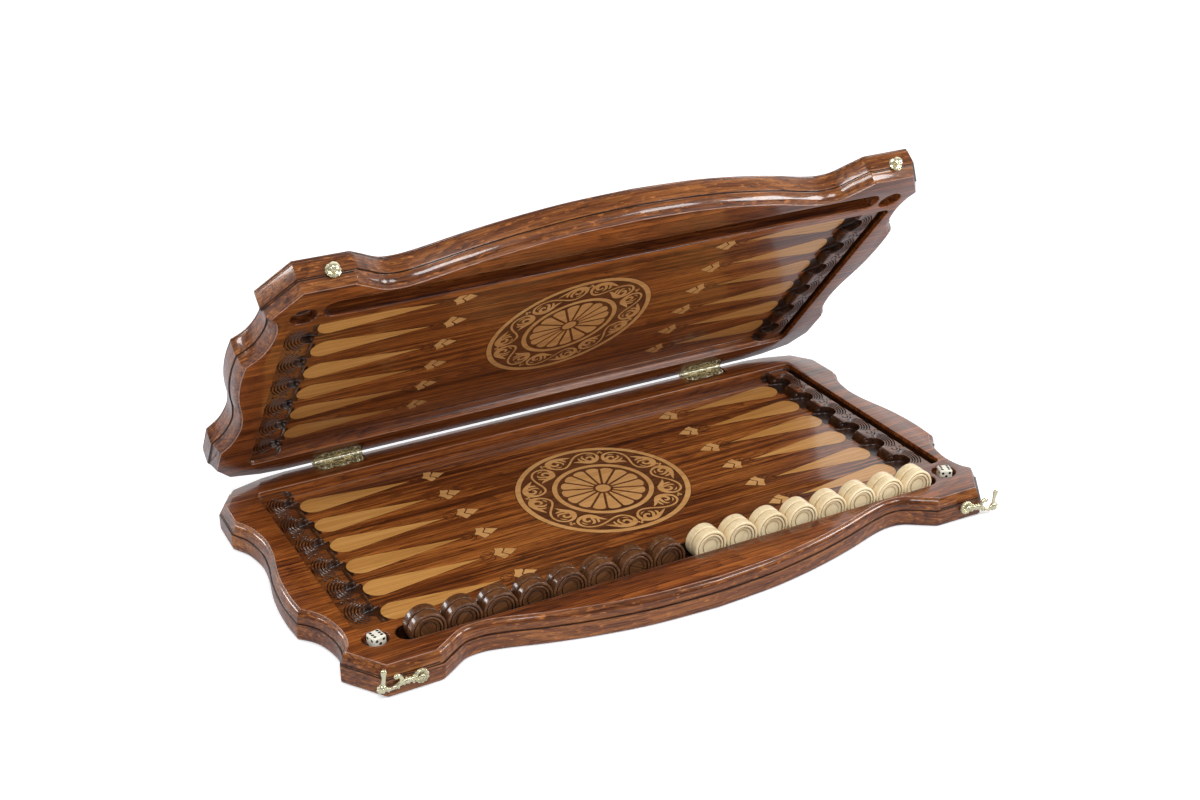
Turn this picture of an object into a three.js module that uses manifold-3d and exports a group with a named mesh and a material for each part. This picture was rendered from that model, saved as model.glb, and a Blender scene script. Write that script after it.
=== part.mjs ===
// A folding wooden backgammon set, in millimetres, +Z up, front towards -Y, right towards +X.
// Two shallow carved trays (base and lid) are joined at the back by two small
// butt hinges. At the front the base carries two swinging hooks and the lid two
// knobs for them to catch. A trough along the front of the base stores
// thirty-two checkers in pairs, and a round pocket at each end of it holds one die.
// The lid stands 50 degrees open. Origin: on the table plane, at mid-length,
// on the middle of the six points of each quarter.
import * as THREE from 'three';
import { mergeVertices } from 'three/addons/utils/BufferGeometryUtils.js';
import { RoundedBoxGeometry } from 'three/addons/geometries/RoundedBoxGeometry.js';
import Module from 'manifold-3d';

// ---------------------------------------------------------- shared dimensions
const HALF_T = 20.5;          // height of the mating plane
const RIM_Z = HALF_T - 0.15;  // top of a tray's rim, just short of the mating plane
const EXTRA = 4;              // wood below z = 0, the level that part heights count from
const LID_OPEN = 50;          // opening angle of the lid, degrees
const HINGE_X = 183;          // middle of each hinge, from mid-length
const HINGE_Y = 142.3;        // hinge pin line, just behind the back faces
const DIE_X = 255.2, DIE_Y = -131.4, DIE_POCKET_Z = 12.4;

// flat facets at the front that carry the hooks and knobs
const FLAT_EDGE_Y = -165.5, FLAT_OUT = 5;
const FLAT_Y = FLAT_EDGE_Y - FLAT_OUT;
const HOOK_Z = 8.4, KNOB_Z = 32;
const SCREW_R = 1.3;          // shank of the hook screws and of the knobs

// What differs between the two ends; tilt raises a hook's free end, in degrees.
const ENDS = [
  { name: 'left', side: -1, hookX: -238.2, hookTilt: 3.4, knobX: -236.8, dieTurn: 12 },
  { name: 'right', side: 1, hookX: 246.1, hookTilt: -6.8, knobX: 245.2, dieTurn: -20 },
];

// -------------------------------------------------------------------- helpers
const wasm = await Module();
wasm.setup();
const rad = THREE.MathUtils.degToRad;
const mirrorX = ([x, y]) => [-x, y];
const mirrorY = ([x, y]) => [x, -y];

// welds the vertices, so that the faces close into a solid
function toSolid(geometry) {
  geometry.deleteAttribute('normal');
  geometry.deleteAttribute('uv');
  const welded = mergeVertices(geometry, 1e-4);
  return new wasm.Manifold(new wasm.Mesh({
    numProp: 3,
    vertProperties: new Float32Array(welded.attributes.position.array),
    triVerts: new Uint32Array(welded.index.array),
  }));
}

function toGeometry(solid) {
  const mesh = solid.getMesh();
  const geometry = new THREE.BufferGeometry();
  geometry.setAttribute('position', new THREE.Float32BufferAttribute(mesh.vertProperties, 3));
  geometry.setIndex(new THREE.Uint32BufferAttribute(mesh.triVerts, 1));
  geometry.computeVertexNormals();
  return geometry;
}

// an upright prism of a plan outline, from z0 to z1
function prism(points, z0, z1) {
  const shape = new THREE.Shape(points.map(([x, y]) => new THREE.Vector2(x, y)));
  const geometry = new THREE.ExtrudeGeometry(shape, { depth: z1 - z0, bevelEnabled: false });
  return geometry.translate(0, 0, z0);
}

// points along an arc, both ends included, angles in degrees
function arc(centreX, centreY, radius, start, end, steps) {
  const points = [];
  for (let i = 0; i <= steps; i++) {
    const angle = rad(start + (end - start) * i / steps);
    points.push([centreX + radius * Math.cos(angle), centreY + radius * Math.sin(angle)]);
  }
  return points;
}

function roundedRect(x0, x1, y0, y1, radius, steps = 3) {
  return [
    ...arc(x1 - radius, y0 + radius, radius, -90, 0, steps),
    ...arc(x1 - radius, y1 - radius, radius, 0, 90, steps),
    ...arc(x0 + radius, y1 - radius, radius, 90, 180, steps),
    ...arc(x0 + radius, y0 + radius, radius, 180, 270, steps),
  ];
}

// a closed cylinder on the named axis, from start to end along it
function rod(axis, radius, start, end, segments) {
  const geometry = new THREE.CylinderGeometry(radius, radius, end - start, segments);
  geometry.translate(0, (start + end) / 2, 0);
  if (axis === 'z') geometry.rotateX(Math.PI / 2);
  if (axis === 'x') geometry.rotateZ(-Math.PI / 2);
  return geometry;
}

// a turning about Y; profile rows are [radius, y]
function turning(profile, segments) {
  return new THREE.LatheGeometry(profile.map(([r, y]) => new THREE.Vector2(r, y)), segments);
}

// ----------------------------------------------------------------- tray blank
// Plan outline of the rim's top edge, right half, from the middle of the front
// to the middle of the back. A run with "steps" is a smooth curve in that many
// steps, moulded as a round bead; the others are straight, with a flat facet.
// "out" is how far the side stands out from this edge; points are [x, y].
const RUNS = [
  { steps: 17, out: 6, points: [
    [0, -180], [23.8, -178.9], [56.9, -176.4], [95, -169.9], [131.8, -160.9],
    [166.7, -150.1], [182.9, -147.2], [197.6, -149], [213.8, -159.1], [221.5, -164.4]] },
  { out: FLAT_OUT, points: [[223.2, FLAT_EDGE_Y], [260.3, FLAT_EDGE_Y]] },
  { out: 5.6, points: [[260.3, FLAT_EDGE_Y], [279, -137.5]] },
  { steps: 9, out: 5.6, points: [
    [278.2, -135.6], [274.7, -129.6], [272.2, -115.2], [273.6, -100.1],
    [277.9, -85.3], [283.7, -75.6], [287.6, -71.4]] },
  { steps: 12, out: 5.6, points: [
    [289.1, -69.8], [290.2, -51.5], [289.4, -28.8], [286.9, -9.7], [282.2, 12.6],
    [280.1, 34.2], [281.5, 49], [285.1, 64.1], [291, 75.6]] },
  { out: 5.6, points: [[292, 77.4], [291.6, 110.5]] },
  { out: 5.2, points: [[291.6, 110.5], [278.6, 129.6]] },
  { out: 4, points: [[278.6, 129.6], [252, 137.9]] },
  { out: 1.6, points: [[252, 137.9], [232, 140.3], [0, 140.3]] },
];
const SAME_POINT = 0.01;      // points closer than this are one
const MITRE_MAX = 1.5;        // longest outward offset at a corner, per unit of width

// Side moulding; "drop" is a distance down from the rim's top edge.
const BEAD_OUT = 4.4, BEAD_DROP = 9.4;
const FACET_INSET = 1.4;      // lower edge of a facet, in from the side
const FACET_DROP = 9, BACK_FACET_DROP = 4.5, BACK_FACET_Y = 120;
const LEDGE_DROP = 0.4;       // fall of the ledge under the bead or facet
const CHAMFER_DROP = 18.7 + EXTRA, CHAMFER_IN = 1.6;
const MOULDING_STEPS = 2;

function halfOutline() {
  const outline = [];
  for (const { steps, out, points } of RUNS) {
    let path = points.map(([x, y]) => new THREE.Vector3(x, y, 0));
    if (steps) path = new THREE.CatmullRomCurve3(path, false, 'centripetal').getSpacedPoints(steps);
    for (const { x, y } of path) {
      const last = outline.at(-1);
      if (last && Math.hypot(last.x - x, last.y - y) < SAME_POINT) {
        last.out = (last.out + out) / 2;
      } else {
        outline.push({ x, y, out, bead: Boolean(steps) });
      }
    }
  }
  return outline;
}

// the whole outline, anticlockwise, with a mitred outward direction at each point
function fullOutline() {
  const right = halfOutline();
  const left = right.slice(1, -1).reverse().map((point) => ({ ...point, x: -point.x }));
  const outline = [...right, ...left];
  const count = outline.length;
  const normal = (from, to) => new THREE.Vector2(to.y - from.y, from.x - to.x).normalize();
  outline.forEach((point, i) => {
    const before = normal(outline[(i + count - 1) % count], point);
    const after = normal(point, outline[(i + 1) % count]);
    const bisector = before.clone().add(after).normalize();
    const mitre = Math.min(1 / bisector.dot(before), MITRE_MAX);
    point.outward = bisector.multiplyScalar(mitre);
  });
  return outline;
}

// section of the side at an outline point, rim to underside, as [outwards, drop]
function sideSection({ y, out, bead }) {
  const facetDrop = y > BACK_FACET_Y ? BACK_FACET_DROP : FACET_DROP;
  const rows = [];
  for (let k = 0; k <= MOULDING_STEPS; k++) {
    const share = k / MOULDING_STEPS;
    const angle = rad(90 * share);
    rows.push(bead
      ? [BEAD_OUT * Math.sin(angle), BEAD_DROP * (1 - Math.cos(angle))]
      : [(out - FACET_INSET) * share, facetDrop * share]);
  }
  rows.push([out, rows[MOULDING_STEPS][1] + LEDGE_DROP]);
  rows.push([out, CHAMFER_DROP]);
  rows.push([out - CHAMFER_IN, RIM_Z + EXTRA]);
  return rows;
}

function trayBlank() {
  const outline = fullOutline();
  const sections = outline.map(sideSection);
  const count = outline.length;
  const ringCount = sections[0].length;
  const positions = [];
  for (let k = 0; k < ringCount; k++) {
    outline.forEach(({ x, y, outward }, i) => {
      const [out, drop] = sections[i][k];
      positions.push(x + outward.x * out, y + outward.y * out, RIM_Z - drop);
    });
  }
  const indices = [];
  for (let k = 0; k + 1 < ringCount; k++) {
    for (let i = 0; i < count; i++) {
      const upper = k * count + i;
      const upperNext = k * count + (i + 1) % count;
      const lower = upper + count;
      const lowerNext = upperNext + count;
      indices.push(upper, lower, upperNext, upperNext, lower, lowerNext);
    }
  }
  const cap = (ring, facesUp) => {
    const first = ring * count;
    const points = outline.map((_, i) => (
      new THREE.Vector2(positions[3 * (first + i)], positions[3 * (first + i) + 1])));
    for (const [a, b, c] of THREE.ShapeUtils.triangulateShape(points, [])) {
      const corners = facesUp ? [a, b, c] : [a, c, b];
      indices.push(...corners.map((corner) => first + corner));
    }
  };
  cap(0, true);
  cap(ringCount - 1, false);
  const geometry = new THREE.BufferGeometry();
  geometry.setAttribute('position', new THREE.Float32BufferAttribute(positions, 3));
  geometry.setIndex(indices);
  return geometry;
}

// ---------------------------------------------------------------- hinge leaf
const LEAF_HALF = 21, LEAF_FRONT_Y = 126.4, LEAF_BACK_Y = 139.5, LEAF_Z0 = 19, LEAF_Z1 = 19.7;
const KNUCKLE_R = 2.2, KNUCKLE_BORE_R = 1.15, KNUCKLE_GAP = 0.25;
const KNUCKLE_L = (2 * LEAF_HALF - 4 * KNUCKLE_GAP) / 5;      // five along the barrel
const TAB_Y = 140.4, TAB_W = 3;                               // tab from leaf to knuckle
const NAIL_HOLE_R = 0.85;
const NAILS = [[-15, 131.6], [0, 129.6], [15, 131.6]];        // [x from mid-leaf, y]

// left half of the leaf's wavy outline, back to front, as [x, y]
const LEAF_OUTLINE = [
  [-LEAF_HALF, LEAF_BACK_Y], [-LEAF_HALF, 132.4], [-19.4, 129.6], [-15.6, 127.6], [-11.2, 129],
  [-8.4, 130.6], [-5.8, 128.2], [-3, 126.8], [0, LEAF_FRONT_Y],
];

// one leaf lying on the rim, centred on x = 0, with the given fifths of the barrel
function leafGeometry(knuckles) {
  const right = LEAF_OUTLINE.slice(0, -1).reverse().map(mirrorX);
  let leaf = toSolid(prism([...LEAF_OUTLINE, ...right], LEAF_Z0, LEAF_Z1));
  const join = (geometry) => { leaf = leaf.add(toSolid(geometry)); };
  const cut = (geometry) => { leaf = leaf.subtract(toSolid(geometry)); };
  for (const k of knuckles) {
    const x0 = -LEAF_HALF + (KNUCKLE_L + KNUCKLE_GAP) * k;
    const x1 = x0 + KNUCKLE_L;
    join(new THREE.BoxGeometry(x1 - x0, TAB_W, LEAF_Z1 - LEAF_Z0)
      .translate((x0 + x1) / 2, TAB_Y, (LEAF_Z0 + LEAF_Z1) / 2));
    join(rod('x', KNUCKLE_R, x0, x1, 12).translate(0, HINGE_Y, HALF_T));
  }
  cut(rod('x', KNUCKLE_BORE_R, -LEAF_HALF - 2, LEAF_HALF + 2, 10).translate(0, HINGE_Y, HALF_T));
  for (const [x, y] of NAILS) {
    cut(rod('z', NAIL_HOLE_R, LEAF_Z0 - 1, LEAF_Z1 + 1, 8).translate(x, y, 0));
  }
  return toGeometry(leaf);
}

// ----------------------------------------------------------------------- tray
const CUT_TOP = HALF_T + 3;                  // cutters end clear above the rim
const PITCH = 36;                            // between neighbouring points of the board
const FIELD_Y0 = -115.2, FIELD_Y1 = 114.5, FIELD_X = 265.6, FIELD_R = 6, FIELD_Z = 10;
const BAND_X0 = 236, BAND_X1 = 259.4, BAND_Z = 16.5;          // raised band at each end
const GROOVE_R = 3;
const POCKET_X = 240.8, POCKET_R = 9.3;
const TROUGH_Y0 = -145, TROUGH_Y1 = -124.4, TROUGH_X = 240.8, TROUGH_R = 10, TROUGH_Z = 6.1;
const DIE_POCKET_R = 10;
const SEAT_Z = LEAF_Z0 - 0.3, SEAT_GAP = 0.4, SEAT_W = 18, SEAT_H = 6;
const NAIL_HOLE_Z = 12.4;
const SCREW_HOLE_R = SCREW_R + 0.35, SCREW_HOLE_L = 12.5;

// One tray, rim up. screwX holds the left and right screw holes as the tray
// lies here; grooveSide (-1 or 1) is the one end with a groove outside its band.
function trayGeometry({ screwX, screwZ, grooveSide }) {
  let tray = toSolid(trayBlank());
  const cut = (geometry) => { tray = tray.subtract(toSolid(geometry)); };

  // the field, first down to the end bands, then between them to its floor
  cut(prism(roundedRect(-FIELD_X, FIELD_X, FIELD_Y0, FIELD_Y1, FIELD_R), BAND_Z, CUT_TOP));
  cut(prism([
    [-BAND_X0, FIELD_Y0], [BAND_X0, FIELD_Y0], [BAND_X0, FIELD_Y1], [-BAND_X0, FIELD_Y1],
  ], FIELD_Z, CUT_TOP));

  [-1, 1].forEach((side, end) => {
    if (side === grooveSide) {
      const [x0, x1] = side > 0 ? [BAND_X1, FIELD_X] : [-FIELD_X, -BAND_X1];
      cut(prism(roundedRect(x0, x1, FIELD_Y0, FIELD_Y1, GROOVE_R), FIELD_Z, CUT_TOP));
    }
    // a round pocket in the band at every point
    for (let i = 0; i < 6; i++) {
      const y = (2.5 - i) * PITCH;
      cut(rod('z', POCKET_R, FIELD_Z, CUT_TOP, 16).translate(side * POCKET_X, y, 0));
    }
    cut(rod('z', DIE_POCKET_R, DIE_POCKET_Z, CUT_TOP, 20).translate(side * DIE_X, DIE_Y, 0));
    // seat for the hinge leaf, open at the back, and its nail holes
    cut(new THREE.BoxGeometry(2 * LEAF_HALF + 2 * SEAT_GAP, SEAT_W, SEAT_H)
      .translate(side * HINGE_X, LEAF_FRONT_Y - SEAT_GAP + SEAT_W / 2, SEAT_Z + SEAT_H / 2));
    for (const [x, y] of NAILS) {
      cut(rod('z', NAIL_HOLE_R, NAIL_HOLE_Z, SEAT_Z + 1, 8).translate(side * HINGE_X + x, y, 0));
    }
    // blind hole for the hook's screw or the knob's shank
    cut(rod('y', SCREW_HOLE_R, FLAT_Y - 2, FLAT_Y + SCREW_HOLE_L, 14)
      .translate(screwX[end], 0, screwZ));
  });

  const trough = roundedRect(-TROUGH_X, TROUGH_X, TROUGH_Y0, TROUGH_Y1, TROUGH_R, 4);
  cut(prism(trough, TROUGH_Z, CUT_TOP));
  return toGeometry(tray);
}

// -------------------------------------------------------------- pin and nails
const PIN_R = 0.85, BUTTON_R = 1.5;
const NAIL_R = 0.5, NAIL_HEAD_R = 1.4;
const NAIL_Z = LEAF_Z1 + 0.15;               // underside of the heads

// hinge pin along X with a small button at each end
function pinGeometry() {
  const shoulder = LEAF_HALF + 0.3;
  const tip = LEAF_HALF + 1.5;
  const half = [
    [PIN_R, shoulder], [BUTTON_R, shoulder], [BUTTON_R, shoulder + 0.6], [1.2, tip - 0.3], [0, tip],
  ];
  return turning([...half.map(mirrorY).reverse(), ...half], 8).rotateZ(-Math.PI / 2);
}

// round-headed nail, head up, with the underside of the head at z = 0
function nailGeometry() {
  return turning([
    [0, -7], [NAIL_R, -6], [NAIL_R, 0], [NAIL_HEAD_R, 0], [NAIL_HEAD_R * 0.7, 0.4], [0, 0.5],
  ], 8).rotateX(Math.PI / 2);
}

// ------------------------------------------------------------ hooks and knobs
const HOOK_Y = -172.3, HOOK_T = 2.6;         // back face and thickness of a hook
const HOOK_REACH = 23.64;                    // pivot to the middle of the notch
const HOOK_HOLE_R = 1.6, ROSETTE_R = 5.5, BOSS_R = 3.4;
const KNOB_NECK_R = 1.7;

// Outline of the hook anticlockwise, as [along the arm, up] from the pivot: a
// rosette, the arm's lower edge, an end boss, a tall thumb finger, the catch
// notch and a short curled prong running back along the arm's upper edge.
const HOOK_OUTLINE = [
  ...arc(0, 0, ROSETTE_R, 30, 330, 12),
  [8, -2.7], [16, -3.3], [20, -5], [24, -5.2], [27.6, -4.6],
  ...arc(29.4, -2.3, BOSS_R, 235, 390, 5),
  [29.9, 4], [29.5, 8], [29.6, 11.4], [28.7, 13], [27.4, 13.2], [26.5, 12], [26.4, 8], [26.6, 3.5],
  ...[[2.6, 0], [1.84, -1.84], [0, -2.6], [-1.84, -1.84], [-2.6, 0]]
    .map(([x, y]) => [HOOK_REACH + x, y]),
  [20.9, 3.2], [20.4, 5.4], [18.9, 6.7], [17.2, 6.2], [16, 4.2], [14.6, 2.2], [10, 1.9],
];

// cast hook, pivot on Y and arm pointing to the given side (-1 or 1)
function hookGeometry(side, tilt) {
  const cos = Math.cos(rad(tilt));
  const sin = Math.sin(rad(tilt));
  const outline = HOOK_OUTLINE.map(([x, y]) => [side * (x * cos - y * sin), x * sin + y * cos]);
  if (side < 0) outline.reverse();
  return toGeometry(toSolid(prism(outline, 0, HOOK_T).rotateX(Math.PI / 2))
    .add(toSolid(rod('y', 3.4, -0.3, 1.5, 18)))               // boss behind the rosette
    .subtract(toSolid(rod('y', HOOK_HOLE_R, -HOOK_T - 2, 4, 16))));
}

// pivot screw of the hook, with a domed slotless head towards -Y
function hookScrewGeometry() {
  return turning([
    [0, -2], [1.5, -1.7], [2.6, -0.9], [2.6, -0.2],
    [SCREW_R, -0.2], [SCREW_R, 14], [0.4, 16], [0, 16],
  ], 14);
}

// knob: button towards -Y, neck, washer foot and shank in one turning
function knobGeometry() {
  return turning([
    [0, -7.6], [2.2, -7.5], [4.1, -6.2], [4.1, -5.4], [3.1, -4.8],
    [KNOB_NECK_R, -4.6], [KNOB_NECK_R, -1.4], [4.4, -1.3], [6, -0.9], [6, -0.3],
    [SCREW_R, -0.3], [SCREW_R, 8], [0.4, 10], [0, 10],
  ], 12);
}

// ---------------------------------------------------------- checkers and dice
const CHECKER_R = 14, CHECKER_T = 8, CHECKER_BEVEL = 1.3;
const CHECKER_Y = { a: -138.35, b: -130.05 };                 // front and back of a pair
const PAIRS = 8;                                              // of each colour
const DARK_X0 = -218.5, DARK_STEP = 28.44;                    // from the left end
const LIGHT_X0 = 219.6, LIGHT_STEP = -28.8;                   // from the right end
const DIE = 11, DIE_R = 1.4, DIE_GAP = 0.3;                   // gap under the die

// checker standing on edge, axis along Y
function checkerGeometry() {
  const face = CHECKER_T / 2;
  const half = [
    [CHECKER_R, face - CHECKER_BEVEL], [CHECKER_R - CHECKER_BEVEL, face], [0, face],
  ];
  return turning([...half.map(mirrorY).reverse(), ...half], 16);
}

const dieGeometry = () => new RoundedBoxGeometry(DIE, DIE, DIE, 1, DIE_R);

// ------------------------------------------------------------------ materials
const material = (settings) => new THREE.MeshStandardMaterial(settings);
const walnut = () => material({ color: 0x5a2c14, roughness: 0.3, metalness: 0 });
const antique = () => material({ color: 0x7d6a35, roughness: 0.4, metalness: 0.9 });
const gold = () => material({ color: 0xd8cf9a, roughness: 0.25, metalness: 0.95 });
const darkWood = () => material({ color: 0x3a2013, roughness: 0.35, metalness: 0 });
const lightWood = () => material({ color: 0xd9b98a, roughness: 0.45, metalness: 0 });
const cream = () => material({ color: 0xf1e8d2, roughness: 0.35, metalness: 0 });

// ------------------------------------------------------------------- assembly
const set = new THREE.Group();
const base = new THREE.Group();
const lidPivot = new THREE.Group();          // turns about the hinge pins
const lid = new THREE.Group();               // holds lid parts in closed-set coordinates
set.add(base, lidPivot);
lidPivot.add(lid);
base.position.z = EXTRA;
lidPivot.position.set(0, HINGE_Y, HALF_T + EXTRA);
lidPivot.rotation.x = rad(-LID_OPEN);
lid.position.set(0, -HINGE_Y, -HALF_T);

// a group on the lid for a piece made rim up: turned over about a line along Y
function flipped(x, y, z) {
  const group = new THREE.Group();
  group.position.set(x, y, 2 * HALF_T - z);
  group.rotation.y = Math.PI;
  lid.add(group);
  return group;
}

function add(group, name, geometry, surface, x = 0, y = 0, z = 0) {
  const mesh = new THREE.Mesh(geometry, surface);
  mesh.name = name;
  mesh.position.set(x, y, z);
  group.add(mesh);
  return mesh;
}

function addTrays() {
  const [left, right] = ENDS;
  const baseTray = trayGeometry({
    screwX: [left.hookX, right.hookX], screwZ: HOOK_Z, grooveSide: 1,
  });
  // the lid's tray is turned over, so its left and right change places
  const lidTray = trayGeometry({
    screwX: [-right.knobX, -left.knobX], screwZ: 2 * HALF_T - KNOB_Z, grooveSide: -1,
  });
  add(base, 'base_tray', baseTray, walnut());
  add(flipped(0, 0, 0), 'lid_tray', lidTray, walnut());
}

function addHinge({ name, side }) {
  const hinge = `hinge_${name}`;
  const middle = side * HINGE_X;
  add(base, `${hinge}_base_leaf`, leafGeometry([0, 2, 4]), antique(), middle);
  add(flipped(middle, 0, 0), `${hinge}_lid_leaf`, leafGeometry([1, 3]), antique());
  add(base, `${hinge}_pin`, pinGeometry(), antique(), middle, HINGE_Y, HALF_T);
  NAILS.forEach(([nailX, y], i) => {
    const x = middle + nailX;
    add(base, `${hinge}_base_nail_${i + 1}`, nailGeometry(), antique(), x, y, NAIL_Z);
    add(flipped(x, y, NAIL_Z), `${hinge}_lid_nail_${i + 1}`, nailGeometry(), antique());
  });
}

function addCatch({ name, side, hookX, hookTilt, knobX }) {
  const hook = `hook_${name}`;
  add(base, hook, hookGeometry(side, hookTilt), gold(), hookX, HOOK_Y, HOOK_Z);
  add(base, `${hook}_screw`, hookScrewGeometry(), gold(), hookX, HOOK_Y - HOOK_T, HOOK_Z);
  add(lid, `knob_${name}`, knobGeometry(), gold(), knobX, FLAT_Y, KNOB_Z);
}

function addCheckers() {
  for (let i = 0; i < PAIRS; i++) {
    const darkX = DARK_X0 + DARK_STEP * i;
    const lightX = LIGHT_X0 + LIGHT_STEP * i;
    for (const [row, y] of Object.entries(CHECKER_Y)) {
      const tag = `${i + 1}${row}`;
      add(base, `checker_dark_${tag}`, checkerGeometry(), darkWood(), darkX, y, HALF_T);
      add(base, `checker_light_${tag}`, checkerGeometry(), lightWood(), lightX, y, HALF_T);
    }
  }
}

function addDie({ name, side, dieTurn }) {
  const z = DIE_POCKET_Z + DIE_GAP + DIE / 2;
  const die = add(base, `die_${name}`, dieGeometry(), cream(), side * DIE_X, DIE_Y, z);
  die.rotation.z = rad(dieTurn);
}

addTrays();
for (const end of ENDS) {
  addHinge(end);
  addCatch(end);
}
addCheckers();
ENDS.forEach(addDie);

export default set;
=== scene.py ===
# A folding backgammon board in carved, lacquered walnut, with checkers, dice and brass hardware.
# The base tray lies flat on the floor, +X to the right, hinges at the back (+Y), hooks at the
# front (-Y). The lid is hinged to it and stands open. Sizes are in mm, turned into metres by MM.
import math
import random

import bmesh
import bpy
import numpy as np
from mathutils import Matrix, Vector
from mathutils.geometry import tessellate_polygon


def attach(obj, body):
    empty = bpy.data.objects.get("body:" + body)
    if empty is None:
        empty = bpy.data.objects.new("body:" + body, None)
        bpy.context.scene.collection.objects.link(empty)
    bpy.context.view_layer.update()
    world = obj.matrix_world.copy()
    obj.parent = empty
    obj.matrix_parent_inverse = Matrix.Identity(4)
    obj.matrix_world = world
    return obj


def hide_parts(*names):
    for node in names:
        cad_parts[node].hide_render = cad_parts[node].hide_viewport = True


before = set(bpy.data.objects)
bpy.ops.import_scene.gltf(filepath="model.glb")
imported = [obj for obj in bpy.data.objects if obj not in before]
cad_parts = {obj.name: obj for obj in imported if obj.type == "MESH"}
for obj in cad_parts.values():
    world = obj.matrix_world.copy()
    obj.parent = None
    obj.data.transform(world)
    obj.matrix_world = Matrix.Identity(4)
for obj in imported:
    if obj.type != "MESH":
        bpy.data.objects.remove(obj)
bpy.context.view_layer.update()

MM = 0.001
rad = math.radians
SIDES = ((-1, "left"), (1, "right"))

# ---------------------------------------------------------------- shared sizes
# heights of one tray, counted from a level EXTRA above its underside
EXTRA = 4.0
HALF_T = 20.5                 # hinge axis, and the plane where the trays meet
RIM_Z = 20.35
BAND_Z = 16.5                 # top of the carved strips
FIELD_Z = 10.0
TROUGH_Z = 6.1
DIE_BAY_Z = 12.4
LID_EXTRA = EXTRA + 0.8

FIELD_Y0, FIELD_Y1 = -115.2, 114.5
TROUGH_Y = -145.0             # front edge of the checker trough
PITCH = 36.0                  # between neighbouring board points
POINT_Y = [(2.5 - i) * PITCH for i in range(6)]
POINT_TIP_X, POINT_END_X, POINT_R = 138.2, 223.06, 11.85
LEAF_X = 117.5
STRIP_X0 = 236.6              # inner edge of the carved strips
BAY_X, BAY_R = 240.8, 9.3     # round bays for checkers in the strips
GROOVE_X0, GROOVE_X1 = 260.2, 265.0
DIE_X, DIE_Y, DIE_SIZE = 255.2, -131.4, 11.0

FLAT_Y = -170.5               # flat front face at hooks and knobs
HINGE_X, HINGE_Y = 183.0, 142.3
LEAF_Z0, LEAF_Z1 = 19.02, 19.62
LID_ANGLE = 50
HOOK_X, HOOK_Z = {-1: -238.2, 1: 246.1}, 8.4
HOOK_TILT = {-1: 3.4, 1: -6.8}
KNOB_X, KNOB_Z = {-1: -236.8, 1: 245.2}, 32.0


def at(x, y, z):
    return Matrix.Translation((x * MM, y * MM, z * MM))


def spin(degrees, axis):
    return Matrix.Rotation(rad(degrees), 4, axis)


HERE = Matrix.Identity(4)
LIFT = at(0, 0, EXTRA)
TO_FRONT = spin(90, "X")      # turns +Z to -Y
OPEN = at(0, HINGE_Y, HALF_T) @ spin(-LID_ANGLE, "X") @ at(0, -HINGE_Y, -HALF_T)
# lid pieces are built in the base's coordinates and turned over onto the lid
LID = OPEN @ at(0, 0, 2 * HALF_T) @ spin(180, "Y")


def fit(obj, body, where=HERE, part=None):
    """Place a finished object, tie it to its body and hide the model part it stands in for"""
    obj.matrix_world = LIFT @ where
    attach(obj, body)
    if part:
        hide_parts(part)


def fit_both(name, obj):
    """The same surface work on both trays; the lid's copy shares the mesh"""
    twin = link_object("lid_" + name, obj.data)
    obj.name = "base_" + name
    fit(obj, "base")
    fit(twin, "lid", LID)


# --------------------------------------------------------------- mesh objects
def link_object(name, mesh, materials=()):
    obj = bpy.data.objects.new(name, mesh)
    bpy.context.scene.collection.objects.link(obj)
    for material in materials:
        mesh.materials.append(material)
    return obj


def new_object(verts, faces, materials=(), name="part"):
    mesh = bpy.data.meshes.new(name)
    mesh.from_pydata([tuple(c * MM for c in v) for v in verts], [], faces)
    mesh.validate()
    return link_object(name, mesh, materials)


def from_bmesh(name, work, materials=()):
    mesh = bpy.data.meshes.new(name)
    work.to_mesh(mesh)
    work.free()
    return link_object(name, mesh, materials)


def fix_normals(obj):
    work = bmesh.new()
    work.from_mesh(obj.data)
    bmesh.ops.recalc_face_normals(work, faces=work.faces)
    work.to_mesh(obj.data)
    work.free()
    return obj


def solid(verts, faces, materials=(), name="part"):
    return fix_normals(new_object(verts, faces, materials, name))


def drop(obj):
    mesh = obj.data
    bpy.data.objects.remove(obj)
    if mesh.users == 0:
        bpy.data.meshes.remove(mesh)


def shade(obj, angle):
    """Smooth shading with sharp edges above an angle"""
    work = bmesh.new()
    work.from_mesh(obj.data)
    for face in work.faces:
        face.smooth = True
    for edge in work.edges:
        edge.smooth = len(edge.link_faces) == 2 and edge.calc_face_angle(0.0) < rad(angle)
    work.to_mesh(obj.data)
    work.free()
    return obj


def join(parts, materials=(), name="part"):
    work = bmesh.new()
    for part in parts:
        work.from_mesh(part.data)
    for part in parts:
        drop(part)
    return from_bmesh(name, work, materials)


def cut(obj, cutter):
    """Take the cutter out of the object and throw the cutter away"""
    boolean = obj.modifiers.new("cut", "BOOLEAN")
    boolean.operation = "DIFFERENCE"
    boolean.solver = "MANIFOLD"
    boolean.object = cutter
    bpy.context.view_layer.update()
    graph = bpy.context.evaluated_depsgraph_get()
    mesh = bpy.data.meshes.new_from_object(obj.evaluated_get(graph))
    obj.modifiers.clear()
    old = obj.data
    obj.data = mesh
    bpy.data.meshes.remove(old)
    drop(cutter)


# -------------------------------------------------------------- plan outlines
def polar(x, y, radius, angle):
    return (x + radius * math.cos(angle), y + radius * math.sin(angle))


def circle(x, y, radius, seg):
    return [polar(x, y, radius, 2 * math.pi * i / seg) for i in range(seg)]


def rounded_rectangle(x0, x1, y0, y1, radius):
    corners = ((x1 - radius, y0 + radius, -90), (x1 - radius, y1 - radius, 0),
               (x0 + radius, y1 - radius, 90), (x0 + radius, y0 + radius, 180))
    return [polar(x, y, radius, rad(start + 90 * i / 8))
            for x, y, start in corners for i in range(9)]


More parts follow.
